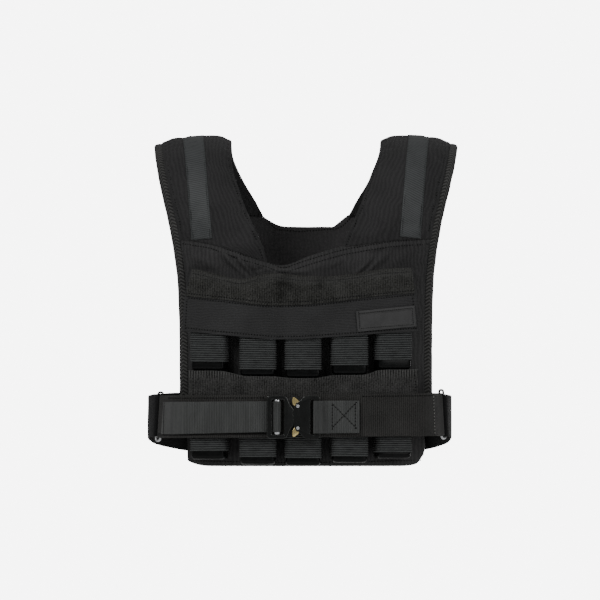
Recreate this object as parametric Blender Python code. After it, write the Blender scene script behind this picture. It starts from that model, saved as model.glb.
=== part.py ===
"""Weighted vest, shown as worn: padded panels, ten blocks in elastic sleeves, a belt and a metal buckle.

Metres, +Z up, the front faces -Y and the wearer's right side is at -X. The origin is midway
between the undersides of the two shoulder straps, at the top of the shoulders.
"""

import math
from bisect import bisect_right
from collections import namedtuple

import bmesh
import bpy
from mathutils import Vector

# Overall sizes of the vest
VEST_DROP = 0.436
SHOULDER_REACH = 0.206
NECK_REACH = 0.101
NECK_SHIFT = -0.005

# The torso that the vest hangs on
TORSO_HALF_DEPTH = 0.112
ARCH_HEIGHT = 0.150
SHOULDER_LEVEL_REACH = 0.262
WAIST_REACH_LEFT = 0.197
WAIST_REACH_RIGHT = 0.180
WAIST_LEVEL = 0.190
SECTION_POWER = 2.8
CROWN_REACH = 0.131
CROWN_DROP_OUTER = 0.0065
CROWN_DROP_INNER = 0.0020

# Cloth thicknesses and the small gaps between pieces
PANEL_PAD = 0.008
SHOULDER_PAD = 0.0105
PAD_EDGE = 0.0045
SHOULDER_EDGE = 0.0075
PAD_ROLL = 0.012
CLOTH = 0.0016
GAP = 0.0003
SEAM_GAP = 0.0006

# Tapes along the armholes and down the shoulder straps
BINDING_WIDTH = 0.0100
BINDING_PROUD = 0.0016
BINDING_END = VEST_DROP - 0.020
STRIP_WIDTH = 0.0278
STRIP_REACH_TOP = 0.1535
STRIP_REACH_SEAM = 0.1400
STRIP_THICKNESS = 0.0009

# Back panel and its neckline
BACK_SEAM_DROP = 0.095
BACK_NECK_DROP = 0.112
BACK_NECK_FLAT = 0.036
BACK_HEM_DROP = VEST_DROP - 0.006
HEM_CORNER = 0.026
HEM_RISE = 0.007

# Blocks, their sleeves and where the rows stand
BLOCK_WIDTH = 0.0465
BLOCK_HEIGHT = VEST_DROP * 0.2569
BLOCK_DEPTH = 0.0250
BLOCK_ROUND = 0.0045
BLOCK_PITCH = 0.0636
ROW_CENTRE = -0.0047
SLEEVE_WALL = 0.0010
SLEEVE_TOP_INSET = 0.0020

# Flaps over the two rows
FLAP_HALF_WIDTH = 0.160
FLAP_CENTRE = -0.0070
FLAP_RISE = 0.0125
FLAP_BULGE = 0.0025
LOWER_FLAP_HEM = VEST_DROP - 0.044
LOWER_FLAP_RISE = 0.004
LOWER_FLAP_SEAT = 0.0014
LOOP_PILE = 0.0014
LOWER_FLAP_LEFT = 0.0005
LOWER_FLAP_RIGHT = 0.0060

# Soft folds in the front panel
FOLD_WIDTH = 0.0075
FOLD_CLEAR = 0.0060

# Patch on the flap
PATCH_WIDTH = 0.0795
PATCH_HEIGHT = 0.0280
PATCH_THICKNESS = 0.0016
PATCH_CENTRE_X = 0.1082
PATCH_DROP = VEST_DROP * 0.5429
PATCH_SLOPE = 0.096

# Belt, straps, rings and side wings
BELT_HEIGHT = 0.0578
BELT_THICKNESS = 0.0022
BELT_DROP = VEST_DROP - 0.0685
BELT_SLOPE = 0.008
BELT_START_LEFT = 0.027
BELT_START_RIGHT = 0.006
STRAP_HEIGHT = 0.0440
STRAP_THICKNESS = 0.0018
STRAP_DROP = BELT_DROP + 0.0020
STRAP_END_X = 0.190
STRAP_RETURN = 0.034
BOX_STITCH_X = 0.0714
RING_X_LEFT = 0.1985
RING_X_RIGHT = 0.1848
RING_OFF_TORSO = 0.0145
RING_WIRE = 0.0017
RING_SPAN = 0.0105
RING_HEIGHT = 0.0656
RING_CORNER = 0.0032
RING_LEAN = 0.10
RING_LEAN_FADE = 0.070
FOLD_TAIL = 0.028
FLAT_REACH = 0.070
FLAT_FADE = 0.050
WING_THICKNESS = 0.0030
WING_HEIGHT = 0.0545
WING_DROP = BELT_DROP + 0.0015
WING_BACK_TOP = BELT_DROP - 0.0315
WING_BACK_BOTTOM = BELT_DROP + 0.0535
WING_END_X = 0.100

# Buckle, in its own plane: across from the line where the halves meet, up from its middle
BUCKLE_MEET_X = -0.0166
BUCKLE_DROP = BELT_DROP + 0.0017
BUCKLE_THICKNESS = 0.0060
BUCKLE_HALF_HEIGHT = 0.0288
FRAME_LENGTH = 0.0360
FRAME_SLOT = (-0.0301, -0.0124)
SLOT_HALF_HEIGHT = 0.0240
BODY_LENGTH = 0.0355
BODY_SLOT = (0.0224, 0.0285)
CORNER_ROUND = 0.0042
NOSE_HALF_HEIGHT = 0.0105
TONGUE_LENGTH = 0.0090
TONGUE_HALF_HEIGHT = 0.0068
TONGUE_THICKNESS = 0.0022
BAR_RADIUS = 0.0028
BAR_TIP = 0.0022
BAR_ROUND = 0.0006
RIVET_ACROSS = 0.0056
RIVET_UP = 0.0148
RIVET_HEAD = 0.0024
RIVET_HEAD_HEIGHT = 0.0007
RIVET_SHAFT = 0.0014
RIVET_CLEARANCE = 0.00008
CLIP_THICKNESS = 0.0026
CLIP_EYE = 0.0031
CLIP_ANGLE = math.radians(7.0)
POCKET_CLEARANCE = 0.0005

# How finely the faceted solids are divided
ROUND_SIDES = 12
WIRE_SIDES = 8
SEAT_STEPS = 12
SEAT_EASE = 0.7
SECTION_POINTS = 360
NUDGE = 0.0005

EdgeRow = namedtuple("EdgeRow", "drop left right")
NeckRow = namedtuple("NeckRow", "drop opening")
SeamRow = namedtuple("SeamRow", "across drop")
BlockRow = namedtuple("BlockRow", "across upper_foot upper_bare lower_foot lower_bare")
FlapRow = namedtuple("FlapRow", "across top seam hem")
FlapSide = namedtuple("FlapSide", "drop left right")
FoldRow = namedtuple("FoldRow", "across drop length slant height")

# Armhole edges: drop as a share of VEST_DROP, reaches as shares of SHOULDER_REACH
ARMHOLE_EDGE = (
    EdgeRow(drop=0.000, left=1.000, right=1.000),
    EdgeRow(drop=0.065, left=0.984, right=0.978),
    EdgeRow(drop=0.160, left=0.944, right=0.932),
    EdgeRow(drop=0.270, left=0.893, right=0.881),
    EdgeRow(drop=0.367, left=0.860, right=0.852),
    EdgeRow(drop=0.425, left=0.843, right=0.838),
    EdgeRow(drop=0.573, left=0.832, right=0.830),
    EdgeRow(drop=1.000, left=0.830, right=0.830),
)
# Neck edges: drop as a share of VEST_DROP, half opening as a share of NECK_REACH
FRONT_NECK = (
    NeckRow(drop=0.000, opening=1.000),
    NeckRow(drop=0.045, opening=0.986),
    NeckRow(drop=0.115, opening=0.891),
    NeckRow(drop=0.200, opening=0.765),
    NeckRow(drop=0.268, opening=0.624),
    NeckRow(drop=0.328, opening=0.510),
    NeckRow(drop=0.380, opening=0.440),
)
BACK_NECK = (
    NeckRow(drop=0.000, opening=1.000),
    NeckRow(drop=0.045, opening=0.986),
    NeckRow(drop=0.083, opening=0.921),
    NeckRow(drop=0.120, opening=0.840),
    NeckRow(drop=0.183, opening=0.663),
    NeckRow(drop=0.218, opening=0.564),
    NeckRow(drop=0.260, opening=0.460),
)
# Seam along the top of the front panel: across as a share of SHOULDER_REACH
FRONT_SEAM = (
    SeamRow(across=-0.850, drop=0.291),
    SeamRow(across=-0.709, drop=0.298),
    SeamRow(across=-0.558, drop=0.316),
    SeamRow(across=-0.410, drop=0.337),
    SeamRow(across=-0.275, drop=0.365),
    SeamRow(across=-0.184, drop=0.379),
    SeamRow(across=-0.110, drop=0.376),
    SeamRow(across=-0.019, drop=0.355),
    SeamRow(across=0.084, drop=0.340),
    SeamRow(across=0.235, drop=0.319),
    SeamRow(across=0.414, drop=0.305),
    SeamRow(across=0.563, drop=0.295),
    SeamRow(across=0.835, drop=0.287),
)
# Blocks: across in pitches from the row's centre, feet as shares of VEST_DROP,
# the bare end below each sleeve as a share of BLOCK_HEIGHT
BLOCKS = (
    BlockRow(across=-2.03, upper_foot=0.7005, upper_bare=0.093, lower_foot=0.9757, lower_bare=0.089),
    BlockRow(across=-0.96, upper_foot=0.7179, upper_bare=0.068, lower_foot=0.9908, lower_bare=0.077),
    BlockRow(across=0.01, upper_foot=0.7239, upper_bare=0.086, lower_foot=0.9943, lower_bare=0.078),
    BlockRow(across=1.01, upper_foot=0.7140, upper_bare=0.102, lower_foot=0.9850, lower_bare=0.062),
    BlockRow(across=1.97, upper_foot=0.6972, upper_bare=0.104, lower_foot=0.9725, lower_bare=0.060),
)
# Upper flap: across as a share of FLAP_HALF_WIDTH, its top edge, band seam and hem as drops
FLAP_LINES = (
    FlapRow(across=-1.00, top=0.390, seam=0.472, hem=0.581),
    FlapRow(across=-0.80, top=0.404, seam=0.480, hem=0.588),
    FlapRow(across=-0.64, top=0.418, seam=0.485, hem=0.594),
    FlapRow(across=-0.54, top=0.426, seam=0.490, hem=0.597),
    FlapRow(across=-0.40, top=0.415, seam=0.498, hem=0.602),
    FlapRow(across=-0.25, top=0.404, seam=0.502, hem=0.607),
    FlapRow(across=-0.02, top=0.413, seam=0.501, hem=0.606),
    FlapRow(across=0.21, top=0.417, seam=0.493, hem=0.601),
    FlapRow(across=0.41, top=0.411, seam=0.485, hem=0.596),
    FlapRow(across=0.70, top=0.394, seam=0.471, hem=0.588),
    FlapRow(across=1.00, top=0.386, seam=0.463, hem=0.582),
)
# Side edges of the upper flap: reach left and right of its centre as shares of its half width
FLAP_SIDES = (
    FlapSide(drop=0.385, left=0.920, right=0.945),
    FlapSide(drop=0.472, left=0.979, right=0.975),
    FlapSide(drop=0.510, left=0.990, right=0.997),
    FlapSide(drop=0.582, left=1.000, right=0.994),
)
# Folds in the panel between its seam and the flap: across and length as shares of SHOULDER_REACH,
# slant in degrees from upright, height as a share of PANEL_PAD
FOLDS = (
    FoldRow(across=-0.335, drop=0.385, length=0.130, slant=42, height=0.55),
    FoldRow(across=-0.270, drop=0.375, length=0.110, slant=38, height=0.45),
    FoldRow(across=-0.110, drop=0.402, length=0.090, slant=-70, height=0.60),
    FoldRow(across=0.270, drop=0.385, length=0.120, slant=-40, height=0.50),
    FoldRow(across=0.390, drop=0.372, length=0.110, slant=-45, height=0.45),
    FoldRow(across=-0.560, drop=0.372, length=0.120, slant=60, height=0.30),
)

for leftover in list(bpy.data.objects):
    bpy.data.objects.remove(leftover, do_unlink=True)


def read_curve(rows, at):
    """Smooth value of a table's last column where its first column is `at`."""
    keys = [row[0] for row in rows]
    values = [row[-1] for row in rows]
    if at <= keys[0]:
        return values[0]
    if at >= keys[-1]:
        return values[-1]
    here = bisect_right(keys, at) - 1
    span = keys[here + 1] - keys[here]
    share = (at - keys[here]) / span

    def slope(index):
        if index == 0 or index == len(keys) - 1:
            low = max(index - 1, 0)
            high = min(index + 1, len(keys) - 1)
            return (values[high] - values[low]) / (keys[high] - keys[low])
        before = (values[index] - values[index - 1]) / (keys[index] - keys[index - 1])
        after = (values[index + 1] - values[index]) / (keys[index + 1] - keys[index])
        if before * after <= 0:
            return 0.0
        return 2 * before * after / (before + after)

    start = slope(here) * span
    end = slope(here + 1) * span
    square = share * share
    cube = square * share
    return (
        (2 * cube - 3 * square + 1) * values[here]
        + (cube - 2 * square + share) * start
        + (3 * square - 2 * cube) * values[here + 1]
        + (cube - square) * end
    )


def read_column(rows, column, at):
    """Smooth value of one named column where the first column is `at`."""
    return read_curve([(row[0], getattr(row, column)) for row in rows], at)


def smooth_step(value):
    """Eases from 0 to 1."""
    held = min(max(value, 0.0), 1.0)
    return held * held * (3 - 2 * held)


def mix(low, high, share):
    """Straight mix of two values."""
    return low + (high - low) * share


# The torso is a surface of two coordinates: across, and a station that runs from the front hem (negative)
# over the shoulder (0) down the back (positive). The arch ends at station 1.


def torso_reach(across, drop):
    """Half width of the torso at a drop below the shoulder."""
    waist = WAIST_REACH_LEFT if across < 0 else WAIST_REACH_RIGHT
    return mix(SHOULDER_LEVEL_REACH, waist, smooth_step(drop / WAIST_LEVEL))


def ridge_drop(across):
    """How far the shoulder falls away from its crown, outward and towards the neck."""
    beyond = abs(across) - CROWN_REACH
    if beyond > 0:
        return CROWN_DROP_OUTER * (beyond / (SHOULDER_REACH - CROWN_REACH)) ** 2
    return CROWN_DROP_INNER * min(1.0, (beyond / (CROWN_REACH - NECK_REACH)) ** 2)


def section_share(across, drop):
    """Depth of the torso at `across`, as a share of its depth on the centre line."""
    share = min(abs(across) / torso_reach(across, drop), 0.995)
    return (1 - share**SECTION_POWER) ** (1 / SECTION_POWER)


def station_drop(station):
    """Drop below the shoulder of a station."""
    along = abs(station)
    if along < 1:
        return ARCH_HEIGHT * (1 - math.cos(along * math.pi / 2))
    return ARCH_HEIGHT * (1 + (along - 1) * math.pi / 2)


def drop_station(drop):
    """Station of a drop, the inverse of station_drop."""
    if drop < ARCH_HEIGHT:
        return math.acos(max(-1.0, 1 - max(drop, 0.0) / ARCH_HEIGHT)) / (math.pi / 2)
    return 1 + (drop / ARCH_HEIGHT - 1) / (math.pi / 2)


def torso(across, station):
    """Point on the torso."""
    angle = min(abs(station), 1.0) * math.pi / 2
    drop = station_drop(station)
    depth = TORSO_HALF_DEPTH * math.sin(angle) * section_share(across, drop)
    sign = -1 if station < 0 else 1
    return Vector((across, sign * depth, -drop - ridge_drop(across) * math.cos(angle)))


def torso_out(across, station):
    """Outward direction of the torso's surface."""
    step = NUDGE / SHOULDER_REACH
    side = torso(across + NUDGE, station) - torso(across - NUDGE, station)
    down = torso(across, station + step) - torso(across, station - step)
    return side.cross(down).normalized()


def seat_under(across, station, off):
    """Across of the place on the torso over which a point `off` outside it shows at `across`."""
    seat = across
    for _ in range(SEAT_STEPS):
        point = torso(seat, station) + torso_out(seat, station) * off
        seat += (across - point.x) * SEAT_EASE
    return seat


def off_torso(across, station, off):
    """Point that stands `off` outside the torso and shows at `across` from the front."""
    seat = seat_under(across, station, off)
    return torso(seat, station) + torso_out(seat, station) * off


def front_point(across, drop, off):
    """Point in front of the torso at a given place in the front view."""
    return off_torso(across, -drop_station(drop), off)


# The girdle is the torso's outline at the waist, measured round from the middle of the front.


def girdle_outline(side):
    """Points of the waist outline on one side with their distance from the middle of the front."""
    reach = WAIST_REACH_LEFT if side < 0 else WAIST_REACH_RIGHT
    power = 2 / SECTION_POWER
    points = []
    for index in range(SECTION_POINTS + 1):
        angle = math.pi * index / SECTION_POINTS
        cosine = math.cos(angle)
        x = side * reach * abs(math.sin(angle)) ** power
        y = -math.copysign(abs(cosine) ** power, cosine) * TORSO_HALF_DEPTH
        points.append(Vector((x, y, 0)))
    lengths = [0.0]
    for before, after in zip(points, points[1:]):
        lengths.append(lengths[-1] + (after - before).length)
    return points, lengths


GIRDLES = {side: girdle_outline(side) for side in (-1, 1)}


def girdle_base(side, around):
    """Point of the waist outline at a distance round from the middle of the front."""
    points, lengths = GIRDLES[side]
    here = min(max(bisect_right(lengths, around) - 1, 0), len(lengths) - 2)
    share = (around - lengths[here]) / (lengths[here + 1] - lengths[here])
    return points[here].lerp(points[here + 1], share)


def girdle(side, around, off, drop=0.0):
    """Point `off` outside the waist outline."""
    reach = 8 * NUDGE
    along = (girdle_base(side, around + reach) - girdle_base(side, around - reach)).normalized()
    out = Vector((along.y, -along.x, 0)) * side
    point = girdle_base(side, around) + out * off
    return Vector((point.x, point.y, -drop))


def girdle_around(side, across, off, back=False):
    """Distance round at which the line `off` outside the waist shows at `across` from the front."""
    _, lengths = GIRDLES[side]
    middle = lengths[SECTION_POINTS // 2]
    low = lengths[-1] if back else 0.0
    high = middle
    for _ in range(40):
        guess = (low + high) / 2
        if abs(girdle(side, guess, off).x) < across:
            low = guess
        else:
            high = guess
    return (low + high) / 2


def finish(name, colour, roughness, metallic=0.0):
    """Plain surface for a piece."""
    material = bpy.data.materials.new(name)
    material.use_nodes = True
    shader = material.node_tree.nodes["Principled BSDF"]
    shader.inputs["Base Color"].default_value = (*colour, 1)
    shader.inputs["Roughness"].default_value = roughness
    shader.inputs["Metallic"].default_value = metallic
    material.diffuse_color = (*colour, 1)
    return material


def make_piece(name, mesh_builder, material, smooth_angle=math.radians(40)):
    """Object with its mesh closed, facing out and shaded smooth."""
    mesh_builder.normal_update()
    bmesh.ops.recalc_face_normals(mesh_builder, faces=mesh_builder.faces)
    if mesh_builder.calc_volume(signed=True) < 0:
        bmesh.ops.reverse_faces(mesh_builder, faces=mesh_builder.faces)
    mesh = bpy.data.meshes.new(name)
    mesh_builder.to_mesh(mesh)
    mesh_builder.free()
    mesh.shade_smooth()
    mesh.set_sharp_from_angle(angle=smooth_angle)
    mesh.materials.append(material)
    piece = bpy.data.objects.new(name, mesh)
    bpy.context.scene.collection.objects.link(piece)
    return piece


def loft(name, sections, material, closed=False):
    """Solid through sections with equal counts of points, capped at its ends unless it is a closed ring."""
    build = bmesh.new()
    rings = [[build.verts.new(point) for point in section] for section in sections]
    count = len(rings[0])
    pairs = list(zip(rings, rings[1:]))
    if closed:
        pairs.append((rings[-1], rings[0]))
    for low, high in pairs:
        for index in range(count):
            after = (index + 1) % count
            build.faces.new((low[index], low[after], high[after], high[index]))
    if not closed:
        build.faces.new(rings[0])
        build.faces.new(rings[-1])
    return make_piece(name, build, material)


def pad(name, columns, rows, inside, outside, material):
    """Closed cloth solid between two surfaces, each given over a grid of shares 0 to 1."""
    build = bmesh.new()
    layers = []
    for surface in (inside, outside):
        layers.append(
            [[build.verts.new(surface(column, row)) for column in columns] for row in rows]
        )
    for layer in layers:
        for low, high in zip(layer, layer[1:]):
            for index in range(len(columns) - 1):
                build.faces.new((low[index], low[index + 1], high[index + 1], high[index]))
    inner, outer = layers
    rims = (
        (inner[0], outer[0]),
        (inner[-1], outer[-1]),
        ([row[0] for row in inner], [row[0] for row in outer]),
        ([row[-1] for row in inner], [row[-1] for row in outer]),
    )
    for under, over in rims:
        for index in range(len(under) - 1):
            build.faces.new((under[index], under[index + 1], over[index + 1], over[index]))
    return make_piece(name, build, material)


def shares(count, low=0.0, high=1.0):
    """Evenly spaced shares, both ends included."""
    return [mix(low, high, index / count) for index in range(count + 1)]


def rolled(thickness, edge_thickness, *distances):
    """Thickness of padded cloth that rolls down towards its edges."""
    nearest = min(distances)
    return mix(edge_thickness, thickness, math.sqrt(smooth_step(nearest / PAD_ROLL)))


CANVAS = finish("canvas", (0.022, 0.022, 0.023), 0.85)
TAPE = finish("binding_tape", (0.026, 0.026, 0.027), 0.8)
REFLECTIVE = finish("reflective_tape", (0.085, 0.098, 0.102), 0.5)
PILE = finish("loop_pile", (0.027, 0.027, 0.024), 0.95)
RUBBER = finish("patch_rubber", (0.016, 0.016, 0.017), 0.5)
COATING = finish("block_coating", (0.004, 0.005, 0.005), 0.25)
ELASTIC = finish("elastic", (0.030, 0.034, 0.035), 0.8)
WEBBING = finish("webbing", (0.042, 0.044, 0.043), 0.75)
BLACK_METAL = finish("black_metal", (0.008, 0.008, 0.009), 0.35, 0.6)
GOLD_METAL = finish("gold_metal", (0.58, 0.40, 0.16), 0.3, 1.0)
BRIGHT_METAL = finish("bright_metal", (0.55, 0.56, 0.57), 0.3, 1.0)


FRONT_ROWS = shares(5, 0.0, 0.84) + shares(6, 0.84, 1.0)[1:]
STRAP_ROWS = shares(20)
BACK_ROWS = shares(8)
BAND_ROWS = shares(5, 0.0, 0.20) + shares(2, 0.20, 0.5)[1:]

# Outlines of the cloth pieces


def armhole_reach(side, drop):
    """Reach of the armhole edge at a drop."""
    column = "left" if side < 0 else "right"
    return SHOULDER_REACH * read_column(ARMHOLE_EDGE, column, drop / VEST_DROP)


def cloth_reach(side, drop):
    """Reach of the padded cloth inside the binding."""
    return armhole_reach(side, drop) - BINDING_WIDTH - SEAM_GAP


def neck_edge(side, station):
    """Across of a shoulder strap's inner edge at a station."""
    share = station_drop(station) / VEST_DROP
    if station < 0:
        centre = NECK_SHIFT * smooth_step(share / FRONT_NECK[2].drop)
        return centre + side * NECK_REACH * read_curve(FRONT_NECK, share)
    return side * NECK_REACH * read_curve(BACK_NECK, share)


def seam_drop(across):
    """Drop of the seam along the front panel's top."""
    return VEST_DROP * read_curve(FRONT_SEAM, across / SHOULDER_REACH)


def hem_drop(across, lowest):
    """Drop of a panel's hem, which rises into rounded corners."""
    edge = cloth_reach(across, lowest)
    beyond = (abs(across) - (edge - HEM_CORNER)) / HEM_CORNER
    return lowest - HEM_RISE * max(0.0, min(beyond, 1.0)) ** 2


def fold_height(across, drop):
    """Height of the soft folds above the flap at a place on the front panel."""
    total = 0.0
    for fold in FOLDS:
        right = across - fold.across * SHOULDER_REACH
        down = drop - fold.drop * VEST_DROP
        slant = math.radians(fold.slant)
        along = right * math.sin(slant) + down * math.cos(slant)
        beside = right * math.cos(slant) - down * math.sin(slant)
        length = fold.length * SHOULDER_REACH / 2
        spread = (beside / FOLD_WIDTH) ** 2 + (along / length) ** 2
        total += fold.height * PANEL_PAD * math.exp(-spread)
    return total


def front_panel_place(column, row):
    """Across and drop of a place on the front panel."""
    drop = mix(VEST_DROP, seam_drop(0.0), row)
    for _ in range(6):
        across = mix(-cloth_reach(-1, drop), cloth_reach(1, drop), column)
        drop = mix(hem_drop(across, VEST_DROP), seam_drop(across), row)
    return across, drop


def make_front_panel():
    """Padded panel down the front, with its shallow V edge and folds."""
    columns = shares(26)

    def inside(column, row):
        across, drop = front_panel_place(column, row)
        return front_point(across, drop, 0.0)

    def outside(column, row):
        across, drop = front_panel_place(column, row)
        edge = cloth_reach(across, drop) - abs(across)
        top = drop - seam_drop(across)
        bottom = hem_drop(across, VEST_DROP) - drop
        off = rolled(PANEL_PAD, PAD_EDGE, edge, top, bottom)
        share = (across - FLAP_CENTRE) / FLAP_HALF_WIDTH
        above_flap = VEST_DROP * read_column(FLAP_LINES, "top", share) - drop
        fade = smooth_step(top / PAD_ROLL) * smooth_step((above_flap - FOLD_CLEAR) / PAD_ROLL)
        off += fold_height(across, drop) * fade
        return front_point(across, drop, off)

    pad("front_panel", columns, FRONT_ROWS, inside, outside, CANVAS)


def back_panel_place(column, row):
    """Across and drop of a place on the back panel, its top edge dipping at the neckline."""
    drop = BACK_HEM_DROP
    for _ in range(6):
        across = mix(-cloth_reach(-1, drop), cloth_reach(1, drop), column)
        neck = abs(neck_edge(1, drop_station(BACK_SEAM_DROP)))
        dip = smooth_step((neck - abs(across)) / (neck - BACK_NECK_FLAT))
        top = mix(BACK_SEAM_DROP, BACK_NECK_DROP, dip)
        drop = mix(hem_drop(across, BACK_HEM_DROP), top, row)
    return across, drop, top


def make_back_panel():
    """Padded panel down the back."""

    def inside(column, row):
        across, drop, _ = back_panel_place(column, row)
        return off_torso(across, drop_station(drop), 0.0)

    def outside(column, row):
        across, drop, top = back_panel_place(column, row)
        edge = cloth_reach(across, drop) - abs(across)
        bottom = hem_drop(across, BACK_HEM_DROP) - drop
        off = rolled(PANEL_PAD, PAD_EDGE, edge, drop - top, bottom)
        return off_torso(across, drop_station(drop), off)

    pad("back_panel", shares(18), BACK_ROWS, inside, outside, CANVAS)


def shoulder_place(side, column, row):
    """Across and station of a place on a shoulder strap, from the front seam to the back seam."""
    back = drop_station(BACK_SEAM_DROP - SEAM_GAP)
    station = -drop_station(seam_drop(side * armhole_reach(side, BACK_SEAM_DROP)))
    for _ in range(8):
        inner = neck_edge(side, station)
        outer = side * cloth_reach(side, station_drop(station))
        across = mix(inner, outer, column)
        front = -drop_station(seam_drop(across) - SEAM_GAP)
        station = mix(front, back, row)
    return across, station, abs(across - inner), abs(outer - across)


def make_shoulder(name, side):
    """Wide padded strap over one shoulder."""

    def inside(column, row):
        across, station, _, _ = shoulder_place(side, column, row)
        return off_torso(across, station, 0.0)

    def outside(column, row):
        across, station, inner, outer = shoulder_place(side, column, row)
        ends = SHOULDER_REACH * min(row, 1 - row)
        away = smooth_step(ends / PAD_ROLL / 2)
        thickness = mix(PANEL_PAD, SHOULDER_PAD, away)
        edge_thickness = mix(PAD_EDGE, SHOULDER_EDGE, away)
        return off_torso(across, station, rolled(thickness, edge_thickness, inner, outer, PAD_EDGE + ends))

    pad(name, shares(7), STRAP_ROWS, inside, outside, CANVAS)


def edge_stations(side):
    """Stations of the cloth's rows along one armhole edge, which the binding shares."""
    column = 0 if side < 0 else 1
    end = drop_station(BINDING_END)
    stations = [-end]
    for row in FRONT_ROWS:
        stations.append(-drop_station(front_panel_place(column, row)[1]))
    for row in STRAP_ROWS:
        stations.append(shoulder_place(side, 1, row)[1])
    for row in reversed(BACK_ROWS):
        stations.append(drop_station(back_panel_place(column, row)[1]))
    stations.append(end)
    kept = [-end]
    for station in stations:
        if kept[-1] + NUDGE / ARCH_HEIGHT * 4 < station <= end:
            kept.append(station)
    return kept


def make_binding(name, side):
    """Woven tape folded over the armhole edge, from the front hem over the shoulder to the back hem."""
    sections = []
    for station in edge_stations(side):
        drop = station_drop(station)
        edge = armhole_reach(side, drop)
        inner = edge - BINDING_WIDTH
        high = PAD_EDGE + BINDING_PROUD
        profile = (
            (inner, 0.0),
            (edge - BINDING_WIDTH * 0.15, 0.0),
            (edge, high * 0.35),
            (edge - BINDING_WIDTH * 0.12, high * 0.9),
            (edge - BINDING_WIDTH * 0.5, high * 1.1),
            (inner, high),
        )
        sections.append([off_torso(side * across, station, off) for across, off in profile])
    loft(name, sections, TAPE)


def make_reflective_strip(name, side):
    """Flat tape down the outer face of a shoulder strap, from seam to seam."""
    sections = []
    back = drop_station(BACK_SEAM_DROP - SEAM_GAP)
    for row in STRAP_ROWS:
        ends = SHOULDER_REACH * min(row, 1 - row)
        low = mix(PANEL_PAD, SHOULDER_PAD, smooth_step(ends / PAD_ROLL / 2)) + SEAM_GAP
        high = low + STRIP_THICKNESS
        corners = []
        for share, off in ((-0.5, low), (0, low), (0.5, low), (0.5, high), (0, high), (-0.5, high)):
            reach = mix(STRIP_REACH_SEAM, STRIP_REACH_TOP, 1 - abs(row * 2 - 1)) + share * STRIP_WIDTH
            front = -drop_station(seam_drop(side * reach) - SEAM_GAP)
            corners.append(off_torso(side * reach, mix(front, back, row), off))
        sections.append(corners)
    loft(name, sections, REFLECTIVE)


# Blocks and sleeves stand on the front panel, each square to the torso under it.

SLEEVE_BACK = PANEL_PAD + GAP * 2
BLOCK_BACK = SLEEVE_BACK + SLEEVE_WALL + GAP
BLOCK_FRONT = BLOCK_BACK + BLOCK_DEPTH
SLEEVE_FRONT = BLOCK_FRONT + GAP + SLEEVE_WALL
FLAP_MID = SLEEVE_FRONT + FLAP_BULGE + CLOTH / 2


def block_frame(across, drop):
    """Foot of a block on the torso with its right and outward directions."""
    station = -drop_station(drop)
    seat = seat_under(across, station, SLEEVE_FRONT)
    out = torso_out(seat, station)
    out.z = 0
    out.normalize()
    foot = torso(seat, station)
    right = Vector((-out.y, out.x, 0))
    return foot, right, out


def rounded_outline(half_width, low, high, corner):
    """Rounded rectangle as pairs of right and outward distances."""
    outline = []
    middle = (low + high) / 2
    half_depth = (high - low) / 2
    for quarter in range(4):
        for step in range(3):
            angle = math.pi / 2 * (quarter + step / 2)
            across = math.cos(math.pi / 4 + quarter * math.pi / 2)
            outward = math.sin(math.pi / 4 + quarter * math.pi / 2)
            centre_right = math.copysign(half_width - corner, across)
            centre_out = math.copysign(half_depth - corner, outward)
            right = centre_right + corner * math.cos(angle)
            out = middle + centre_out + corner * math.sin(angle)
            outline.append((right, out))
    return outline


def make_block(name, across, foot_drop):
    """Coated iron block with rounded edges, standing upright."""
    foot, right, out = block_frame(across, foot_drop - BLOCK_HEIGHT / 2)
    levels = (
        (foot_drop, BLOCK_ROUND * 0.7),
        (foot_drop - BLOCK_ROUND * 0.3, BLOCK_ROUND * 0.3),
        (foot_drop - BLOCK_ROUND, 0.0),
        (foot_drop - BLOCK_HEIGHT + BLOCK_ROUND, 0.0),
        (foot_drop - BLOCK_HEIGHT, BLOCK_ROUND * 0.5),
    )
    sections = []
    for drop, inset in levels:
        outline = rounded_outline(
            BLOCK_WIDTH / 2 - inset, BLOCK_BACK + inset, BLOCK_FRONT - inset, BLOCK_ROUND - inset * 0.5
        )
        base = Vector((foot.x, foot.y, -drop))
        sections.append([base + right * side + out * off for side, off in outline])
    loft(name, sections, COATING)


def make_sleeve(name, across, foot_drop, bare):
    """Elastic tube round a block, open at both ends."""
    foot, right, out = block_frame(across, foot_drop - BLOCK_HEIGHT / 2)
    low = foot_drop - bare
    high = foot_drop - BLOCK_HEIGHT + SLEEVE_TOP_INSET
    wall_inner = rounded_outline(
        BLOCK_WIDTH / 2 + GAP, BLOCK_BACK - GAP, BLOCK_FRONT + GAP, BLOCK_ROUND + GAP
    )
    wall_outer = rounded_outline(
        BLOCK_WIDTH / 2 + GAP + SLEEVE_WALL, SLEEVE_BACK, SLEEVE_FRONT, BLOCK_ROUND + GAP + SLEEVE_WALL
    )
    sections = []
    for outline, drop in ((wall_inner, low), (wall_outer, low), (wall_outer, high), (wall_inner, high)):
        base = Vector((foot.x, foot.y, -drop))
        sections.append([base + right * side + out * off for side, off in outline])
    loft(name, sections, ELASTIC, closed=True)


def block_across(block):
    """Across of a block's middle."""
    return ROW_CENTRE + block.across * BLOCK_PITCH


def make_rows():
    """Two rows of five blocks in their sleeves."""
    for number, block in enumerate(BLOCKS, start=1):
        across = block_across(block)
        upper = block.upper_foot * VEST_DROP
        lower = block.lower_foot * VEST_DROP
        make_block(f"weight_upper_{number}", across, upper)
        make_sleeve(f"sleeve_upper_{number}", across, upper, block.upper_bare * BLOCK_HEIGHT)
        make_block(f"weight_lower_{number}", across, lower)
        make_sleeve(f"sleeve_lower_{number}", across, lower, block.lower_bare * BLOCK_HEIGHT)


# Flaps are sheets with a path down their width: out from the panel over the blocks, then straight down.


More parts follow.
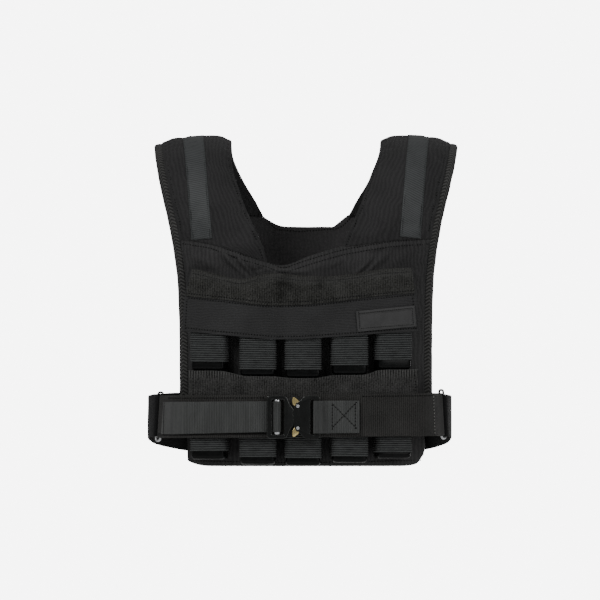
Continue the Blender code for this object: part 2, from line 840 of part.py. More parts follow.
def flap_off(below_top, rise):
    """Distance off the torso of a flap's middle at a distance below its top edge."""
    start = PANEL_PAD + GAP * 2 + CLOTH / 2
    return mix(start, FLAP_MID, smooth_step(below_top / rise))


def upper_flap_place(column, row):
    """Across, drop and distance off the torso of a place on the upper flap. Row 0.5 is the band's seam."""
    share = mix(-1, 1, column)
    top = VEST_DROP * read_column(FLAP_LINES, "top", share)
    seam = VEST_DROP * read_column(FLAP_LINES, "seam", share)
    hem = VEST_DROP * read_column(FLAP_LINES, "hem", share)
    drop = mix(top, seam, row * 2) if row < 0.5 else mix(seam, hem, row * 2 - 1)
    side = "left" if share < 0 else "right"
    reach = read_column(FLAP_SIDES, side, drop / VEST_DROP)
    across = FLAP_CENTRE + share * FLAP_HALF_WIDTH * reach
    return across, drop, flap_off(drop - top, FLAP_RISE)


def upper_flap_point(column, row, proud):
    """Point at a distance in front of the middle of the upper flap's cloth, square to the cloth."""
    across, drop, off = upper_flap_place(column, row)
    step = NUDGE / FLAP_RISE
    _, drop_before, off_before = upper_flap_place(column, max(row - step, 0.0))
    _, drop_after, off_after = upper_flap_place(column, min(row + step, 1.0))
    along = Vector((off_after - off_before, drop_after - drop_before, 0)).normalized()
    return front_point(across, drop - along.x * proud, off + along.y * proud)


def make_upper_flap():
    """Cloth flap over the upper row, and the loop band sewn along its top."""
    pad(
        "flap_cover",
        shares(22),
        BAND_ROWS + shares(2, 0.5, 1.0)[1:],
        lambda column, row: upper_flap_point(column, row, -CLOTH / 2),
        lambda column, row: upper_flap_point(column, row, CLOTH / 2),
        CANVAS,
    )
    low = CLOTH / 2 + GAP
    pad(
        "flap_loop_band",
        shares(22, 0.004, 0.996),
        BAND_ROWS,
        lambda column, row: upper_flap_point(column, row, low),
        lambda column, row: upper_flap_point(column, row, low + LOOP_PILE),
        PILE,
    )


def patch_point(column, row, off):
    """Point on the patch, which leans with the flap's hem."""
    right = (column - 0.5) * PATCH_WIDTH
    down = (row - 0.5) * PATCH_HEIGHT
    across = PATCH_CENTRE_X + right + down * PATCH_SLOPE
    drop = PATCH_DROP + down - right * PATCH_SLOPE
    return front_point(across, drop, off)


def make_patch():
    """Rubbery patch near the right end of the flap's plain band."""
    low = FLAP_MID + CLOTH / 2 + GAP
    high = low + PATCH_THICKNESS
    pad(
        "patch",
        shares(8),
        shares(2),
        lambda column, row: patch_point(column, row, low),
        lambda column, row: patch_point(column, row, high),
        RUBBER,
    )


def lower_flap_knots():
    """Across and drop of the lower flap's top edge, level under each block of the upper row."""
    knots = []
    for block in BLOCKS:
        middle = block_across(block)
        half = BLOCK_WIDTH / 2 + SLEEVE_WALL + GAP
        drop = block.upper_foot * VEST_DROP + CLOTH / 2 + GAP * 3
        knots.append((middle - half, drop))
        knots.append((middle, drop))
        knots.append((middle + half, drop))
    knots[0] = (knots[0][0] - LOWER_FLAP_LEFT, knots[0][1])
    knots[-1] = (knots[-1][0] + LOWER_FLAP_RIGHT, knots[-1][1])
    return knots


def lower_flap_point(knot, row, proud):
    """Point on the lower flap: out along a shelf under the upper blocks, then straight down."""
    across, top = knot
    start = PANEL_PAD + LOWER_FLAP_SEAT
    round_off = FLAP_MID - LOWER_FLAP_RISE
    if row <= 1:
        drop = top
        off = mix(start, round_off, row)
        along = (1.0, 0.0)
    elif row <= 2:
        angle = (row - 1) * math.pi / 2
        drop = top + LOWER_FLAP_RISE * (1 - math.cos(angle))
        off = round_off + LOWER_FLAP_RISE * math.sin(angle)
        along = (math.cos(angle), math.sin(angle))
    else:
        drop = mix(top + LOWER_FLAP_RISE, LOWER_FLAP_HEM, row - 2)
        off = FLAP_MID
        along = (0.0, 1.0)
    return front_point(across, drop - along[0] * proud, off + along[1] * proud)


def make_lower_flap():
    """Loop-faced flap over the lower row."""
    knots = lower_flap_knots()
    columns = list(range(len(knots)))
    rows = [0.0, 1.0, 1.5, 2.0, 2.4, 3.0]
    pad(
        "lower_flap",
        columns,
        rows,
        lambda column, row: lower_flap_point(knots[column], row, -CLOTH / 2),
        lambda column, row: lower_flap_point(knots[column], row, CLOTH / 2),
        PILE,
    )


# Belt, straps, wings and rings follow the girdle. Each is a ribbon on edge.

BELT_FRONT_MID = FLAP_MID + CLOTH / 2 + GAP * 2 + BELT_THICKNESS / 2
BELT_RING_MID = RING_OFF_TORSO + RING_WIRE + GAP + BELT_THICKNESS / 2
RING_X = {-1: RING_X_LEFT, 1: RING_X_RIGHT}


def ring_around(side):
    """Distance round of the middle of a ring."""
    return girdle_around(side, RING_X[side], RING_OFF_TORSO)


RING_AROUND = {side: ring_around(side) for side in (-1, 1)}
ROW_EDGE = {
    -1: girdle_around(-1, -lower_flap_knots()[0][0], BELT_FRONT_MID),
    1: girdle_around(1, lower_flap_knots()[-1][0], BELT_FRONT_MID),
}


def leaning(side, around, drop):
    """Distance round with the lean that the rings have, which fades away from them."""
    weight = 1 - smooth_step(abs(around - RING_AROUND[side]) / RING_LEAN_FADE)
    return around + RING_LEAN * (drop - BELT_DROP) * weight


def waist_point(side, around, off, drop):
    """Point of the belt's ribbons and rings, with their lean."""
    return girdle(side, leaning(side, around, drop), off, drop)


def belt_off(side, around):
    """Distance off the torso of the belt's middle."""
    start = ROW_EDGE[side]
    end = RING_AROUND[side] - RING_SPAN / 2
    return mix(BELT_FRONT_MID, BELT_RING_MID, smooth_step((around - start) / (end - start)))


def flat_rise(side, around):
    """Extra distance off the torso that keeps the ribbons flat behind and beside the buckle."""
    recess = TORSO_HALF_DEPTH + girdle_base(side, around).y
    return recess * (1 - smooth_step((around - FLAT_REACH) / FLAT_FADE))


def ribbon(name, side, path, thickness, extent, material):
    """Ribbon on edge along a path of distance round and distance off, with its drops given by `extent`."""
    sections = []
    path = [(around, off + flat_rise(side, around)) for around, off in path]
    for index, (around, off) in enumerate(path):
        top, bottom = extent(around)
        section = []
        for drop, sign in ((top, 1), (bottom, 1), (bottom, -1), (top, -1)):
            here = waist_point(side, around, off, drop)
            before = path[max(index - 1, 0)]
            after = path[min(index + 1, len(path) - 1)]
            start = waist_point(side, *before, drop)
            end = waist_point(side, *after, drop)
            along = (end - start).normalized()
            section.append(here + Vector((along.y, -along.x, 0)) * (sign * side * thickness / 2))
        sections.append(section)
    loft(name, sections, material)


def belt_extent(around, side):
    """Top and bottom drops of the belt, which climbs a little towards the wearer's left."""
    lift = BELT_SLOPE * side * around
    return BELT_DROP - BELT_HEIGHT / 2 - lift, BELT_DROP + BELT_HEIGHT / 2 - lift


def fold_round(bar, radius, towards):
    """Path round a ring's bar from its inner side to its outer side. `towards` is 1 to bulge backwards."""
    path = []
    for step in range(7):
        angle = mix(-math.pi / 2, math.pi / 2, step / 6)
        path.append((bar + towards * radius * math.cos(angle), RING_OFF_TORSO + radius * math.sin(angle)))
    return path


def make_belt(name, side, start_x):
    """Wide loop webbing from near the buckle to its fold round a ring."""
    bar = RING_AROUND[side] - RING_SPAN / 2
    radius = RING_WIRE + GAP + BELT_THICKNESS / 2
    tail = [(bar - FOLD_TAIL, RING_OFF_TORSO - radius), (bar - FOLD_TAIL / 2, RING_OFF_TORSO - radius)]
    path = tail + fold_round(bar, radius, 1)
    start = side * girdle_around(side, start_x, BELT_FRONT_MID)
    first = abs(start)
    for share in shares(18, 0.04, 1.0):
        around = mix(bar, first, share)
        path.append((around, belt_off(side, around)))
    ribbon(name, side, path, BELT_THICKNESS, lambda around: belt_extent(around, side), PILE)


def strap_extent(around, side):
    """Top and bottom drops of the narrow strap."""
    lift = BELT_SLOPE * side * around
    return STRAP_DROP - STRAP_HEIGHT / 2 - lift, STRAP_DROP + STRAP_HEIGHT / 2 - lift


STRAP_STEP = (BELT_THICKNESS + STRAP_THICKNESS) / 2 + GAP * 2
STRAP_LAYER = STRAP_THICKNESS + GAP * 2
INNER_STRAP_MID = BELT_FRONT_MID + STRAP_STEP
OUTER_STRAP_MID = INNER_STRAP_MID + STRAP_LAYER
BUCKLE_BACK = OUTER_STRAP_MID + STRAP_THICKNESS / 2 + GAP * 2
BUCKLE_MID = BUCKLE_BACK + BUCKLE_THICKNESS / 2
BUCKLE_Y = -(TORSO_HALF_DEPTH + BUCKLE_MID)
BAR_X = BUCKLE_MEET_X + (FRAME_SLOT[0] + FRAME_SLOT[1]) / 2 - 0.0012


def bar_loop(bar, radius, low, high, centre, towards):
    """Path that comes in on one layer, goes over a bar and leaves on the other layer below it."""
    path = [(bar + towards * (radius + 0.004), high), (bar + towards * (radius + 0.0012), high + 0.0008)]
    for step in range(9):
        angle = mix(0.0, math.pi, step / 8)
        path.append((bar + towards * radius * math.cos(angle), centre + radius * math.sin(angle)))
    path.append((bar - towards * radius, mix(centre, low, 0.6)))
    path.append((bar - towards * (radius - 0.0018), low + 0.0006))
    path.append((bar - towards * (radius - 0.0042), low))
    return path


def make_strap_left():
    """Webbing sewn to the belt at the ring and run round the adjuster bar in the buckle's frame."""
    side = -1
    bar = girdle_around(side, -BAR_X, BUCKLE_MID)
    radius = BAR_RADIUS + GAP + STRAP_THICKNESS / 2
    start = girdle_around(side, STRAP_END_X, BELT_RING_MID)
    loop = bar_loop(bar, radius, INNER_STRAP_MID, OUTER_STRAP_MID, BUCKLE_MID, 1)
    layered = bar + STRAP_RETURN
    path = []
    for share in shares(16):
        around = mix(start, loop[0][0] + 0.003, share)
        climb = smooth_step((layered + STRAP_RETURN - around) / STRAP_RETURN)
        path.append((around, belt_off(side, around) + STRAP_STEP + STRAP_LAYER * climb))
    path += loop
    for share in shares(3)[1:]:
        around = mix(loop[-1][0], layered, share)
        path.append((around, belt_off(side, around) + STRAP_STEP))
    ribbon("strap_left", side, path, STRAP_THICKNESS, lambda around: strap_extent(around, side), WEBBING)


def make_strap_right():
    """Webbing looped over the buckle body's rail and sewn to the belt with a boxed cross."""
    side = 1
    near = BUCKLE_MEET_X + BODY_SLOT[1]
    far = BUCKLE_MEET_X + BODY_LENGTH
    face = BUCKLE_MID + BUCKLE_THICKNESS / 2
    wrap = STRAP_THICKNESS / 2 + GAP * 2
    end = girdle_around(side, BOX_STITCH_X, BELT_FRONT_MID)
    path = []
    for share in shares(6):
        around = mix(end, near + wrap, share)
        path.append((around, INNER_STRAP_MID))
    path += [
        (near - wrap * 0.3, INNER_STRAP_MID + wrap * 0.3),
        (near - wrap, INNER_STRAP_MID + wrap),
        (near - wrap, face),
        (near - wrap * 0.7, face + wrap * 0.7),
        (near, face + wrap),
        (far, face + wrap),
        (far + wrap * 0.7, face + wrap * 0.7),
        (far + wrap * 2.5, mix(OUTER_STRAP_MID, face, 0.5)),
        (far + wrap * 5.5, OUTER_STRAP_MID),
    ]
    for share in shares(5)[1:]:
        path.append((mix(far + wrap * 5.5, end, share), OUTER_STRAP_MID))
    ribbon("strap_right", side, path, STRAP_THICKNESS, lambda around: strap_extent(around, side), WEBBING)


def wing_extent(side, around, end):
    """Top and bottom drops of a wing, which widens from the ring towards the back panel."""
    share = smooth_step((around - RING_AROUND[side]) / (end - RING_AROUND[side]))
    top = mix(WING_DROP - WING_HEIGHT / 2, WING_BACK_TOP, share)
    return top, mix(WING_DROP + WING_HEIGHT / 2, WING_BACK_BOTTOM, share)


def make_wing(name, side):
    """Side wing from the back panel's outer face round the waist to its fold on a ring."""
    bar = RING_AROUND[side] + RING_SPAN / 2
    radius = RING_WIRE + GAP + WING_THICKNESS / 2
    back_mid = PANEL_PAD + GAP * 3 + WING_THICKNESS / 2
    end = girdle_around(side, WING_END_X, back_mid, back=True)
    path = [(bar + FOLD_TAIL, RING_OFF_TORSO - radius), (bar + FOLD_TAIL / 2, RING_OFF_TORSO - radius)]
    path += fold_round(bar, radius, -1)
    ring_mid = RING_OFF_TORSO + radius
    for share in shares(18, 0.03, 1.0):
        around = mix(bar, end, share)
        path.append((around, mix(ring_mid, back_mid, smooth_step(share * 1.6))))
    ribbon(name, side, path, WING_THICKNESS, lambda around: wing_extent(side, around, end), CANVAS)


def make_ring(name, side):
    """Rectangular wire ring between the belt's fold and the wing's fold."""
    middle = RING_AROUND[side]
    half_span = RING_SPAN / 2
    half_height = RING_HEIGHT / 2
    centres = []
    for quarter in range(4):
        corner_x = math.cos(math.pi / 4 + quarter * math.pi / 2)
        corner_z = math.sin(math.pi / 4 + quarter * math.pi / 2)
        for step in range(4):
            angle = math.pi / 2 * (quarter + step / 3)
            around = math.copysign(half_span - RING_CORNER, corner_x) + RING_CORNER * math.cos(angle)
            up = math.copysign(half_height - RING_CORNER, corner_z) + RING_CORNER * math.sin(angle)
            drop = BELT_DROP - BELT_SLOPE * side * middle - up
            centres.append(waist_point(side, middle + around, RING_OFF_TORSO, drop))
    middle_point = sum(centres, Vector()) / len(centres)
    out = (girdle(side, middle, RING_OFF_TORSO * 2) - girdle(side, middle, RING_OFF_TORSO)).normalized()
    sections = []
    for index, centre in enumerate(centres):
        along = (centres[(index + 1) % len(centres)] - centres[index - 1]).normalized()
        beside = along.cross(out).normalized()
        if beside.dot(centre - middle_point) < 0:
            beside = -beside
        section = []
        for step in range(WIRE_SIDES):
            angle = 2 * math.pi * step / WIRE_SIDES
            section.append(centre + (beside * math.cos(angle) + out * math.sin(angle)) * RING_WIRE)
        sections.append(section)
    loft(name, sections, BRIGHT_METAL, closed=True)


# The buckle lies in one plane in front of the belt.


def buckle_point(across, up, forward=0.0):
    """Point of the buckle: across from where the halves meet, up from its middle, forward of its mid-plane."""
    return Vector((BUCKLE_MEET_X + across, BUCKLE_Y - forward, -BUCKLE_DROP + up))


def plate(name, outline, back, front, material):
    """Flat plate with an outline of across and up pairs."""
    sections = []
    for forward in (back, front):
        sections.append([buckle_point(across, up, forward) for across, up in outline])
    return loft(name, sections, material)


def cut(piece, cutter):
    """Takes a cutter's shape out of a piece and clears the cutter away."""
    modifier = piece.modifiers.new("cut", "BOOLEAN")
    modifier.operation = "DIFFERENCE"
    modifier.solver = "EXACT"
    modifier.object = cutter
    graph = bpy.context.evaluated_depsgraph_get()
    mesh = bpy.data.meshes.new_from_object(piece.evaluated_get(graph))
    piece.modifiers.remove(modifier)
    old = piece.data
    piece.data = mesh
    bpy.data.meshes.remove(old)
    bpy.data.objects.remove(cutter, do_unlink=True)


def mirrored(upper):
    """Whole outline from its upper half, which runs from the right end on the middle line to the left end."""
    return list(upper) + [(across, -up) for across, up in reversed(upper)]


def corner(centre_across, centre_up, radius, start, end, steps=4):
    """Rounded corner as part of an outline, angles in degrees."""
    points = []
    for step in range(steps + 1):
        angle = math.radians(mix(start, end, step / steps))
        points.append((centre_across + radius * math.cos(angle), centre_up + radius * math.sin(angle)))
    return points


def slot_outline(low, high, half_height, radius):
    """Rounded slot."""
    upper = corner(high - radius, half_height - radius, radius, 0, 90, 3)
    upper += corner(low + radius, half_height - radius, radius, 90, 180, 3)
    return mirrored(upper)


def make_buckle_frame():
    """Left half of the buckle: a frame with the strap's slot and a tongue that enters the body."""
    shoulder = BUCKLE_HALF_HEIGHT - NOSE_HALF_HEIGHT
    upper = [
        (-GAP, NOSE_HALF_HEIGHT * 0.95),
        (-0.0012, NOSE_HALF_HEIGHT + shoulder * 0.08),
        (-0.0042, NOSE_HALF_HEIGHT + shoulder * 0.26),
        (-0.0066, NOSE_HALF_HEIGHT + shoulder * 0.52),
        (-0.0086, NOSE_HALF_HEIGHT + shoulder * 0.80),
        (-0.0104, NOSE_HALF_HEIGHT + shoulder * 0.94),
        (-0.0132, BUCKLE_HALF_HEIGHT),
    ]
    upper += corner(
        CORNER_ROUND - FRAME_LENGTH, BUCKLE_HALF_HEIGHT - CORNER_ROUND, CORNER_ROUND, 90, 180
    )
    half = BUCKLE_THICKNESS / 2
    body = plate("buckle_frame", mirrored(upper), -half, half, BLACK_METAL)
    slot = slot_outline(FRAME_SLOT[0], FRAME_SLOT[1], SLOT_HALF_HEIGHT, 0.0016)
    cut(body, plate("frame_slot_cutter", slot, -half * 2, half * 2, BLACK_METAL))
    tongue_outline = [
        (-0.0030, -TONGUE_HALF_HEIGHT),
        (TONGUE_LENGTH - 0.0015, -TONGUE_HALF_HEIGHT),
        (TONGUE_LENGTH, -TONGUE_HALF_HEIGHT + 0.0015),
        (TONGUE_LENGTH, TONGUE_HALF_HEIGHT - 0.0015),
        (TONGUE_LENGTH - 0.0015, TONGUE_HALF_HEIGHT),
        (-0.0030, TONGUE_HALF_HEIGHT),
    ]
    tongue = plate(
        "tongue", tongue_outline, -TONGUE_THICKNESS / 2, TONGUE_THICKNESS / 2, BLACK_METAL
    )
    modifier = body.modifiers.new("tongue", "BOOLEAN")
    modifier.operation = "UNION"
    modifier.solver = "EXACT"
    modifier.object = tongue
    tongue.hide_render = True
    tongue.display_type = "WIRE"


def clip_outline():
    """Outline of a release clip about its rivet: an eye and a tip that stands out between the halves."""
    eye = [
        (CLIP_EYE * math.cos(math.radians(angle)), CLIP_EYE * math.sin(math.radians(angle)))
        for angle in (215, 250, 285, 320, 355)
    ]
    tip = [
        (0.0026, 0.0052),
        (-0.0010, 0.0092),
        (-0.0044, 0.0118),
        (-0.0062, 0.0116),
        (-0.0074, 0.0098),
        (-0.0077, 0.0062),
        (-0.0068, 0.0028),
    ]
    return eye + tip


def ring_outline(radius, sides):
    """Regular outline about the origin."""
    return [
        (radius * math.cos(2 * math.pi * step / sides), radius * math.sin(2 * math.pi * step / sides))
        for step in range(sides)
    ]


def placed(outline, across, up, flip=1):
    """Outline moved to a place in the buckle's plane, turned upside down if flip is -1."""
    return [(across + x, up * flip + z * flip) for x, z in outline]


def swept_pocket():
    """Room that a clip needs over its whole travel, with clearance, about its rivet."""
    points = []
    for turn in (-CLIP_ANGLE * 0.4, 0.0, CLIP_ANGLE, CLIP_ANGLE * 1.3):
        for x, z in clip_outline():
            length = math.hypot(x, z)
            grow = (length + POCKET_CLEARANCE) / length
            points.append(
                (
                    (x * math.cos(turn) - z * math.sin(turn)) * grow,
                    (x * math.sin(turn) + z * math.cos(turn)) * grow,
                )
            )
    return convex(points)


def convex(points):
    """Convex outline round points."""
    ordered = sorted(points)

    def chain(source):
        line = []
        for point in source:
            while len(line) > 1:
                first, second = line[-2], line[-1]
                turn = (second[0] - first[0]) * (point[1] - first[1]) - (second[1] - first[1]) * (
                    point[0] - first[0]
                )
                if turn > 1e-12:
                    break
                line.pop()
            line.append(point)
        return line[:-1]

    return chain(ordered) + chain(reversed(ordered))


def make_buckle_body():
    """Right half of the buckle: a thick plate with the tongue's socket, the clips' pockets and a strap slot."""
    upper = [(BODY_LENGTH, 0.010)]
    upper += corner(BODY_LENGTH - CORNER_ROUND, BUCKLE_HALF_HEIGHT - CORNER_ROUND, CORNER_ROUND, 0, 90)
    upper += [
        (0.0159, BUCKLE_HALF_HEIGHT),
        (0.0136, BUCKLE_HALF_HEIGHT - 0.0018),
        (0.0072, 0.0206),
        (0.0034, 0.0186),
        (0.0016, 0.0150),
        (0.0002, NOSE_HALF_HEIGHT),
    ]
    half = BUCKLE_THICKNESS / 2
    body = plate("buckle_body", mirrored(upper), -half, half, BLACK_METAL)
    slot = slot_outline(BODY_SLOT[0], BODY_SLOT[1], SLOT_HALF_HEIGHT, 0.0016)
    cut(body, plate("body_slot_cutter", slot, -half * 2, half * 2, BLACK_METAL))
    socket_half = TONGUE_HALF_HEIGHT + POCKET_CLEARANCE
    socket = [
        (-0.0050, -socket_half),
        (TONGUE_LENGTH + POCKET_CLEARANCE, -socket_half),
        (TONGUE_LENGTH + POCKET_CLEARANCE, socket_half),
        (-0.0050, socket_half),
    ]
    socket_depth = TONGUE_THICKNESS / 2 + GAP
    cut(body, plate("socket_cutter", socket, -socket_depth, socket_depth, BLACK_METAL))
    pocket_depth = CLIP_THICKNESS / 2 + GAP
    for flip in (1, -1):
        pocket = placed(swept_pocket(), RIVET_ACROSS, RIVET_UP, flip)
        cut(body, plate("pocket_cutter", pocket, -pocket_depth, pocket_depth, BLACK_METAL))
        hole = placed(ring_outline(RIVET_SHAFT + GAP, ROUND_SIDES), RIVET_ACROSS, RIVET_UP, flip)
        cut(body, plate("hole_cutter", hole, -half * 2, half * 2, BLACK_METAL))


def make_clip(name, flip):
    """Gold release clip that turns on its rivet."""
    eye_hole = (RIVET_SHAFT + RIVET_CLEARANCE) / math.cos(math.pi / ROUND_SIDES)
    half = CLIP_THICKNESS / 2
    outline = placed(clip_outline(), RIVET_ACROSS, RIVET_UP, flip)
    piece = plate(name, outline, -half, half, GOLD_METAL)
    hole = placed(ring_outline(eye_hole, ROUND_SIDES), RIVET_ACROSS, RIVET_UP, flip)
    cut(piece, plate("eye_cutter", hole, -half * 2, half * 2, GOLD_METAL))
    pivot = buckle_point(RIVET_ACROSS, RIVET_UP * flip)
    for vertex in piece.data.vertices:
        vertex.co -= pivot
    piece.location = pivot


def make_rivet(name, flip):
    """Rivet through the body and a clip, with a low head on each face."""
    face = BUCKLE_THICKNESS / 2 + GAP
    stations = (
        (-face - RIVET_HEAD_HEIGHT, RIVET_HEAD * 0.8),
        (-face - RIVET_HEAD_HEIGHT * 0.3, RIVET_HEAD),
        (-face, RIVET_HEAD),
        (-face, RIVET_SHAFT),
        (face, RIVET_SHAFT),
        (face, RIVET_HEAD),
        (face + RIVET_HEAD_HEIGHT * 0.3, RIVET_HEAD),
        (face + RIVET_HEAD_HEIGHT, RIVET_HEAD * 0.8),
    )
    sections = []
    for forward, radius in stations:
        outline = placed(ring_outline(radius, ROUND_SIDES), RIVET_ACROSS, RIVET_UP, flip)
        sections.append([buckle_point(across, up, forward) for across, up in outline])
    loft(name, sections, BRIGHT_METAL)


def make_adjuster_bar():
    """Round bar across the frame's slot, which the left strap goes round."""
    half = SLOT_HALF_HEIGHT - GAP
    centre = Vector((BAR_X, BUCKLE_Y, -BUCKLE_DROP))
    sections = []
    levels = ((-half, BAR_TIP), (-half + BAR_ROUND, BAR_RADIUS), (half - BAR_ROUND, BAR_RADIUS), (half, BAR_TIP))
    for up, radius in levels:
        section = []
        for across, forward in ring_outline(radius, 12):
            section.append(centre + Vector((across, forward, up)))
        sections.append(section)
    loft("adjuster_bar", sections, BRIGHT_METAL)


make_front_panel()
make_back_panel()
for side, word in ((-1, "left"), (1, "right")):
    make_shoulder(f"shoulder_{word}", side)
    make_binding(f"binding_{word}", side)
    make_reflective_strip(f"reflective_strip_{word}", side)
    make_wing(f"wing_{word}", side)
    make_ring(f"ring_{word}", side)
make_rows()
make_upper_flap()
make_patch()
make_lower_flap()
make_belt("belt_left", -1, BELT_START_LEFT)
make_belt("belt_right", 1, BELT_START_RIGHT)
make_strap_left()
make_strap_right()
make_buckle_frame()
make_adjuster_bar()
make_buckle_body()
for flip, word in ((1, "upper"), (-1, "lower")):
    make_clip(f"clip_{word}", flip)
    make_rivet(f"rivet_{word}", flip)
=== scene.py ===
"""Weighted vest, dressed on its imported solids: padded canvas panels, iron blocks in elastic sleeves,
loop-faced flaps, a webbing belt and a two-part metal buckle.

Metres, +Z up. The front faces -Y and the wearer's right side is at -X.
"""

import math
from collections import namedtuple

import bmesh
import bpy
import numpy as np
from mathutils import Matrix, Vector
from mathutils.bvhtree import BVHTree
from mathutils.kdtree import KDTree


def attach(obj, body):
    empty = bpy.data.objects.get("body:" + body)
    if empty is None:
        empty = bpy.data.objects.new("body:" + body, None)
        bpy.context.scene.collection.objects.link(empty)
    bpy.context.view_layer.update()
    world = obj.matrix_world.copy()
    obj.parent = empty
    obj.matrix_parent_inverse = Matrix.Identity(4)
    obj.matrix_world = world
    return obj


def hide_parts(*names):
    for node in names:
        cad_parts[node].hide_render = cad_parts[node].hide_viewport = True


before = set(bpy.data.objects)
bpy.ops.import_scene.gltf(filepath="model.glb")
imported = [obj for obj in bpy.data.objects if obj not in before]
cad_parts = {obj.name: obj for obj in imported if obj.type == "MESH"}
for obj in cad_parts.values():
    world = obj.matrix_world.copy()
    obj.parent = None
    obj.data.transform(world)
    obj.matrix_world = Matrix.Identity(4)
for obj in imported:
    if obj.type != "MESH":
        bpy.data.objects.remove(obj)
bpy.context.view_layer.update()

# Camera, lights and floor.
# The photograph is level and square to the front, as if from far away through a long lens.
PIXEL = 0.00135
PHOTO_SIDE = 600
PHOTO_MIDDLE_COLUMN = 306
PHOTO_RIDGE_ROW = 134.5
RIDGE_LEVEL = 0.012
FRONT_PLANE = -0.12
CAMERA_DISTANCE = 25.0
FLOOR_LEVEL = -0.66
FLOOR_RADIUS = 1.5
BACKDROP_GLOW = 7.0
ROOM_GLOW = 0.34


def photo_x(column):
    """Across of a column of the photograph."""
    return (column - PHOTO_MIDDLE_COLUMN) * PIXEL


def photo_z(row):
    """Level of a row of the photograph."""
    return RIDGE_LEVEL - (row - PHOTO_RIDGE_ROW) * PIXEL


def linked(name, data):
    """New object in the scene."""
    piece = bpy.data.objects.new(name, data)
    bpy.context.scene.collection.objects.link(piece)
    return piece


def make_camera():
    """Camera that sees the vest as the photograph does."""
    data = bpy.data.cameras.new("camera")
    data.lens = data.sensor_width * CAMERA_DISTANCE / (PHOTO_SIDE * PIXEL)
    data.clip_end = CAMERA_DISTANCE * 3
    camera = linked("camera", data)
    camera.location = (photo_x(PHOTO_SIDE / 2), FRONT_PLANE - CAMERA_DISTANCE, photo_z(PHOTO_SIDE / 2))
    camera.rotation_euler = (math.pi / 2, 0, 0)
    bpy.context.scene.camera = camera


def make_light(name, place, aim, size, watts):
    """Large soft area light."""
    data = bpy.data.lights.new(name, "AREA")
    data.shape = "DISK"
    data.size = size
    data.energy = watts
    light = linked(name, data)
    light.location = place
    light.rotation_euler = (Vector(aim) - Vector(place)).to_track_quat("-Z", "Y").to_euler()


def make_surroundings():
    """Pale floor and an even pale light all round."""
    world = bpy.data.worlds.new("pale")
    world.use_nodes = True
    tree = world.node_tree
    room = tree.nodes["Background"]
    room.inputs["Color"].default_value = (1, 1, 1, 1)
    room.inputs["Strength"].default_value = ROOM_GLOW
    backdrop = tree.nodes.new("ShaderNodeBackground")
    backdrop.inputs["Color"].default_value = (1, 1, 1, 1)
    backdrop.inputs["Strength"].default_value = BACKDROP_GLOW
    seen = tree.nodes.new("ShaderNodeLightPath")
    choice = tree.nodes.new("ShaderNodeMixShader")
    tree.links.new(seen.outputs["Is Camera Ray"], choice.inputs[0])
    tree.links.new(room.outputs[0], choice.inputs[1])
    tree.links.new(backdrop.outputs[0], choice.inputs[2])
    tree.links.new(choice.outputs[0], tree.nodes["World Output"].inputs["Surface"])
    bpy.context.scene.world = world
    build = bmesh.new()
    bmesh.ops.create_circle(build, cap_ends=True, segments=96, radius=FLOOR_RADIUS)
    mesh = bpy.data.meshes.new("floor")
    build.to_mesh(mesh)
    build.free()
    floor = linked("floor", mesh)
    floor.location = (0, 0, FLOOR_LEVEL)
    material = bpy.data.materials.new("pale_floor")
    material.use_nodes = True
    shader = material.node_tree.nodes["Principled BSDF"]
    shader.inputs["Base Color"].default_value = (0.93, 0.93, 0.93, 1)
    shader.inputs["Roughness"].default_value = 0.9
    mesh.materials.append(material)


make_camera()
make_surroundings()
make_light("key", place=(-1.5, -2.3, 1.5), aim=(0, 0, -0.2), size=1.5, watts=54)
make_light("fill", place=(1.8, -2.2, 0.6), aim=(0, 0, -0.2), size=1.8, watts=30)
make_light("top", place=(0.1, -0.4, 2.2), aim=(0, 0, -0.2), size=1.4, watts=6)
make_light("rear", place=(0.9, 2.6, -0.25), aim=(0, 0.1, -0.25), size=1.6, watts=46)


# Back panel.
# A wide padded panel of woven canvas with a round neckline. Two layers of cloth are sewn round a thin foam,
# so the edges roll down to the seam and the middle stands up softly. Its inner face is painted paler than
# the outside, as painted light where the front panel shades it.
ARCH_HEIGHT = 0.150
TORSO_HALF_DEPTH = 0.112
ARCH_RADIUS = (ARCH_HEIGHT + TORSO_HALF_DEPTH) / 2
THREAD_PITCH = 0.0011
SAME_PLACE = 2e-5
CREASE_ANGLE = math.radians(38)
OUTSIDE_FACING = 0.3
RIPPLE_DIRECTIONS = 7


